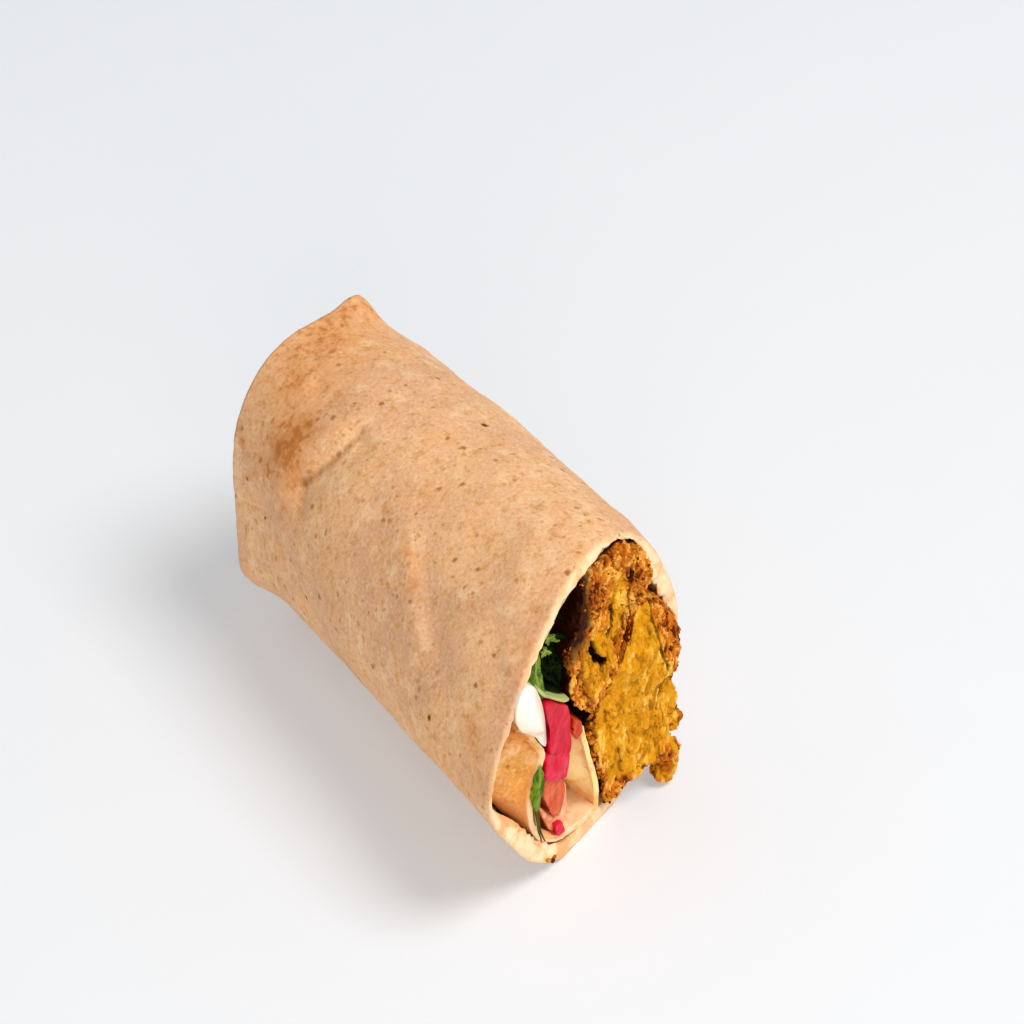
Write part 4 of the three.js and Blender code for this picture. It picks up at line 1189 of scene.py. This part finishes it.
plainLeaf = {                               # for each lobe its direction, length and width in radians
    "lobes": [(0.0, 1.0, 0.42), (1.15, 0.8, 0.4), (-1.15, 0.8, 0.4), (2.2, 0.42, 0.4), (-2.2, 0.42, 0.4)],
    "teeth": 13, "cup": 0.25, "droop": 0.25, "thickness": 0.3, "columns": 96, "rows": 16,
}


def leafGrid(leaf):
    # rings from the leaf's heart out to its lobed edge over the top, and back under it; its two faces are
    # half a thickness either side of a surface that cups, droops and frills towards the edge
    leaf = {**plainLeaf, **leaf}
    heart, size = leaf["heart"], leaf["size"]
    phi = np.linspace(-np.pi, np.pi, leaf["columns"], endpoint=False)[None]
    out = np.linspace(0.06, 1, leaf["rows"])[:, None]
    radius = parsleyRadius(phi, leaf["lobes"], leaf["teeth"]) * size
    forward = unit(np.array(leaf["forward"], float))
    side = unit(np.cross(leaf["up"], forward))
    up = np.cross(forward, side)
    x, y = radius * out * np.cos(phi), radius * out * np.sin(phi)
    share = out * radius / size
    lift = size * (leaf["cup"] * share ** 2 * np.cos(2 * phi + 0.4) - leaf["droop"] * (x / size) ** 2
                   + leaf["frill"] * share ** 3 * np.sin(6 * phi + leaf["turn"]))
    surface = heart + x[..., None] * forward + y[..., None] * side + lift[..., None] * up
    thick = up * leaf["thickness"] / 2 * np.sqrt(np.clip(1.02 - out ** 4, 0, 1))[..., None]
    vein = np.zeros_like(x)
    for middle, _, _ in leaf["lobes"]:
        aside = wrapped(phi - middle) * radius * out / (0.05 * size)
        vein = np.maximum(vein, np.exp(-aside ** 2) * (1 - out * 0.6))
    grid = np.concatenate([surface + thick, (surface - thick)[::-1]])
    veins = capped(np.concatenate([vein, vein[::-1]]), 1, 1)
    return *skinOf(grid, heart + up * 0.1, heart - up * 0.1), veins


def stemGrid(path, thickness):              # a round thread along a smooth path, thinner at its tip
    rows, columns, veinTone = 24, 10, 0.4
    line = openCurve(path, np.linspace(0, 1, rows))
    way = unit(np.gradient(line, axis=0))
    side = unit(np.cross(way, (0.3, 0.2, 1.0)))
    up = np.cross(side, way)
    phi = np.linspace(0, 2 * np.pi, columns, endpoint=False)[None, :, None]
    radius = thickness / 2 * np.linspace(1, 0.6, rows)[:, None, None]
    grid = line[:, None] + radius * (np.cos(phi) * side[:, None] + np.sin(phi) * up[:, None])
    return *skinOf(grid, line[0], line[-1]), np.full(rows * columns + 2, veinTone)


def filledOutline(outline, middle, shares):     # y and z of rings that shrink from an outline to its middle
    flat = middle + (closedCurve(outline, 120) - middle) * shares[:, None, None]
    return flat[..., 0], flat[..., 1]


def leafPatch(outline, ahead, thickness, lift, spine):
    # a leaf that lies along the cut: its outline filled to the middle of its spine, puckered between the
    # veins that run out from there; a thin lens with a top and an under side
    middle = np.mean(spine, 0)
    shares = np.linspace(1, 0.05, 22)
    y, z = filledOutline(outline, middle, shares)
    away = lineDistance(y, z, spine)
    sideVeins = np.cos(9 * np.arctan2(z - middle[1], y - middle[0]) + 0.4 * z)
    pucker = 0.3 * sideVeins * np.minimum(away / 2, 1) + 0.25 * bumps(inCut(y, z), 2.6)
    top = ahead + lift * (1 - np.exp(-(away / 1.6) ** 2)) + pucker
    half = thickness / 2 * np.sqrt(np.clip(1.02 - shares ** 6, 0, 1))[:, None]
    grid = np.concatenate([atCut(y, z, top + half), atCut(y, z, top - half)[::-1]])
    vein = np.exp(-(away / 0.28) ** 2) + 2 * np.clip(-sideVeins - 0.75, 0, 1)
    veins = np.clip(np.concatenate([vein, vein[::-1]]), 0, 1)
    return *skinOf(grid), capped(veins, 1, 1)


def makeGreens():
    # near-black parsley, a bed, leaves and stems: painted shade that fills the dark gap beside the crusty
    # falafel
    bed = {"outline": [(-8.4, 58), (-5.8, 54.5), (-6.8, 50.8), (-8.8, 47.6), (-7.9, 43.4), (-12.4, 46),
                       (-15.4, 50.4), (-13, 54.6)],
           "from": 0.2, "columns": 60, "rows": 20, "caps": 14}
    grid, y, z, _ = strandGrid(bed, lambda y, z: -13.0, 1.0)
    parts = [(*skinOf(grid, backPole(bed, y, z)), np.zeros(y.size + 2))]
    leaves = [                              # heart on the cut and ahead of it, forward, up, size
        ((-9.4, 44.6, -5.0), (0.5, 0.3, -0.8), (0.8, -0.5, 0.3), 4.4),
        ((-8.6, 50.5, -5.5), (0.4, 0.1, -0.9), (0.8, -0.6, 0.2), 4.6),
        ((-8.2, 55.2, -6.0), (0.4, 0.2, 0.6), (0.7, -0.6, 0.2), 4.4),
        ((-12.4, 49.4, -5.0), (0.5, 0.3, -0.7), (0.8, -0.3, 0.5), 4.4),
        ((-11.6, 45.2, -3.2), (0.3, 0.6, -0.6), (0.8, -0.4, 0.4), 3.4),
        ((-5.6, 58.6, -5.0), (0.4, 0.5, 0.5), (0.8, -0.5, 0.2), 3.8),
    ]
    for index, (heart, forward, up, size) in enumerate(leaves):
        parts.append(leafGrid({"heart": atCut(*heart), "forward": forward, "up": up, "size": size,
                               "turn": 1.7 * index, "frill": 0.14}))
    points, faces, veins = leafPatch([(-9.0, 46.4), (-6.8, 45.8), (-4.8, 42.4), (-4.2, 38.6), (-5.0, 36.0),
                                      (-6.4, 37.4), (-7.8, 40.4), (-9.0, 43.4)],
                                     -4.2, 0.4, 0.8, [(-7.2, 45), (-6.4, 41), (-5.4, 37.6)])
    parts.append((points, faces, np.full(len(veins), 1.6)))
    parts.append(stemGrid([atCut(-11, 52, -9), atCut(-10.5, 49, -5), atCut(-9.4, 45.5, -4)], 0.9))
    parts.append(stemGrid([atCut(-8, 57, -8), atCut(-8.8, 51, -5), atCut(-9.5, 44.2, -3)], 0.8))
    points, faces, veins = joinParts(parts)
    makePiece("parsleyBunch", points, faces, shadedParsley, "dark_parsley", ["greens"], {"vein": veins * 0.5})


makeGreens()


def makeBrightLeaves():
    points, faces, veins = leafPatch([(-15.4, 54.8), (-14.6, 53.0), (-14.2, 49.6), (-13.2, 45.6),
                                      (-12.8, 42.4), (-15.2, 43.4), (-17.4, 47.0), (-19.0, 49.6),
                                      (-18.2, 52.6), (-16.8, 54.6)],
                                     -0.6, 0.4, -0.5, [(-16.0, 54), (-16.0, 50), (-14.4, 44.6)])
    parts = [(points, faces, veins * 0.5)]
    curls = [((-11.6, 54.4), 1.5, 0.4), ((-9.8, 52.8), 1.3, 1.9), ((-12.2, 52.0), 1.4, 3.4)]
    for place, size, turn in curls:
        points, faces, veins = leafGrid(
            {"heart": atCut(*place, -1.4), "forward": (0.3, math.cos(turn), math.sin(turn)),
             "up": (0.6, -0.7, 0.3), "size": size, "turn": turn, "frill": 0.3, "cup": 0.5, "teeth": 9,
             "lobes": [(0.0, 1.0, 1.1), (2.1, 0.8, 0.9), (-2.1, 0.8, 0.9)], "thickness": 0.25})
        parts.append((points, faces, 0.15 + 0.6 * veins))
    points, faces, veins = joinParts(parts)
    makePiece("parsleyLeafUpper", points, faces, brightParsley, "parsley", ["parsley_upper"], {"vein": veins})
    points, faces, veins = leafPatch([(-15.9, 30.0), (-14.9, 28.0), (-14.4, 25.6), (-14.3, 22.6),
                                      (-15.2, 20.0), (-16.4, 18.8), (-17.6, 20.6), (-18.5, 23.4),
                                      (-18.2, 26.6), (-17.2, 28.6)],
                                     1.0, 0.4, -0.5, [(-15.9, 29.2), (-16.4, 25), (-16.6, 20)])
    makePiece("parsleyLeafLower", points, faces, brightParsley, "parsley", ["parsley_lower"],
              {"vein": veins * 0.3})
    threads = [                             # places on the cut and ahead of it, thickness
        ([(-16.6, 19.6, 1.0), (-16.3, 15.8, 1.3), (-15.2, 12.4, 1.4), (-14.2, 10.4, 1.0)], 0.5),
        ([(-16.9, 19.4, 1.0), (-16.7, 15.6, 1.3), (-16.0, 13.0, 1.5), (-15.4, 11.0, 1.0)], 0.45),
        ([(-17.8, 21.0, 1.0), (-17.9, 18.8, 1.2), (-17.6, 17.2, 1.4)], 0.4),
    ]
    points, faces, veins = joinParts([stemGrid([atCut(*place) for place in path], thickness)
                                      for path, thickness in threads])
    makePiece("parsleyStems", points, faces, parsleyStem, "parsley", marks={"vein": veins})


makeBrightLeaves()

# its sheet is painted near black as shade deep in the dark gap; only its cut edge is pale
lettuce = {"path": [(-16.2, 47.6), (-14.4, 45), (-11.8, 42), (-9.1, 39.8), (-6.9, 38.2)],
           "thickness": 0.6, "tear": 0.05, "depth": 26.0, "columns": 50, "rows": 40}


def makeLettuce():
    def middle(s, t):
        place = openCurve(lettuce["path"], s.ravel()).reshape(*s.shape, 2)
        ahead = mixed(-lettuce["depth"], 0.5, t) + 0.5 * np.sin(9 * s) * t
        return atCut(place[..., 0], place[..., 1], ahead)
    along = np.linspace(0, 1, lettuce["rows"])
    rings = bentSheet(middle, lettuce["columns"], along, lettuce["thickness"], lettuce["tear"])
    vein = np.zeros(rings.shape[:2])
    vein[-8:] = 1.0                         # its cut edge is pale
    sheetPiece("lettuceLeaf", rings, lettuceLeaf, "lettuce", "lettuce_edge", {"vein": vein})


makeLettuce()


# ---- juice and small bits at the cut ----

def makeJuice():
    # a thin lens that lies on the inner layer below the tomato: an outline filled to its middle, raised there
    outline = [(-14.4, 17.2), (-12.9, 12.9), (-10.6, 8.4), (-8.2, 6.9), (-5.6, 8.0), (-5.3, 12.0),
               (-6.2, 16.8), (-9.4, 11.6), (-12.0, 14.4)]
    bottom, edge = -2.4, -1.2               # how far ahead of the cut
    shares = np.linspace(1, 0.06, 20)
    y, z = filledOutline(outline, np.array([-9.6, 10.4]), shares)
    dome = np.sqrt(1 - shares ** 2)[:, None]
    top = atCut(y, z, edge + dome + 0.25 * bumps(inCut(y, z), 2.0))
    under = atCut(y, z, bottom)
    makePiece("tomatoJuice", *skinOf(np.concatenate([under[::-1], top])), juiceFilm, "tomato")


makeJuice()
print("fillings made")


# ---- floor, light and camera ----

# The stage is a white light table: opal acrylic, lit a little from below, so that shadows on it stay pale.
lightTable, tree, principled, place = newMaterial("opal_acrylic_light_table", Roughness=0.6, IOR=1.45,
                                                  Emission_Color=colour("E2F3FF"), Emission_Strength=0.27)
tone = blend(tree, noiseOf(tree, place, 40.0), colour("D1D3D8"), colour("D3D5DA"))
tree.links.new(tone, principled.inputs["Base Color"])

floorHalf, floorTop = 6.0, -0.0002          # metres
floorMesh = bpy.data.meshes.new("floor")
floorCorners = [(floorHalf * x, floorHalf * y, floorTop) for x, y in ((-1, -1), (1, -1), (1, 1), (-1, 1))]
floorMesh.from_pydata(floorCorners, [], [(0, 1, 2, 3)])
floorMesh.materials.append(lightTable)
floor = bpy.data.objects.new("floor", floorMesh)
bpy.context.scene.collection.objects.link(floor)

world = bpy.data.worlds.new("studio")
world.use_nodes = True
world.node_tree.nodes["Background"].inputs["Color"].default_value = colour("FFF7EE")
world.node_tree.nodes["Background"].inputs["Strength"].default_value = 0.44
bpy.context.scene.world = world

camera = {
    "azimuth": 61.03, "elevation": 36.23, "distance": 801.0, "target": (0.0, 0.0, 26.7),
    "lens": 142.4, "sideways": 0.0164, "upwards": 0.0160,
}
azimuth, elevation = math.radians(camera["azimuth"]), math.radians(camera["elevation"])
rightWay = np.array([math.cos(azimuth), math.sin(azimuth), 0.0])
levelBack = np.array([math.sin(azimuth), -math.cos(azimuth), 0.0])
backWay = levelBack * math.cos(elevation) + (0, 0, math.sin(elevation))
upWay = np.cross(backWay, rightWay)
target = inFrame(camera["target"])
lensData = bpy.data.cameras.new("camera")
lensData.lens = camera["lens"]
lensData.sensor_width = 36.0
lensData.clip_start, lensData.clip_end = 0.05, 50.0
eye = bpy.data.objects.new("camera", lensData)
eye.location = target + backWay * camera["distance"] * 0.001


def pointAlong(thing, way):                 # adds a camera or lamp to the scene, looking along way
    thing.rotation_mode = "QUATERNION"
    thing.rotation_quaternion = Vector(way).to_track_quat("-Z", "Y")
    bpy.context.scene.collection.objects.link(thing)


pointAlong(eye, rightWay * camera["sideways"] + upWay * camera["upwards"] - backWay)
bpy.context.scene.camera = eye


def softLight(name, right, back, height, size, power, hexText):     # an area light that faces the wrap
    data = bpy.data.lights.new(name, "AREA")
    data.shape = "DISK"
    data.size = size
    data.energy = power
    data.color = colour(hexText)[:3]
    lamp = bpy.data.objects.new(name, data)
    lamp.location = target + rightWay * right + levelBack * back + (0, 0, height)
    pointAlong(lamp, Vector(target) - lamp.location)


softLight("keyLight", 0.78, 0.3, 1.45, 0.9, 18.8, "FFFCF8")
softLight("cutLight", 0.08, 1.0, 0.3, 0.6, 4.0, "FFF4E4")
bpy.context.scene.view_settings.view_transform = "Standard"
print("stage, light and camera made")
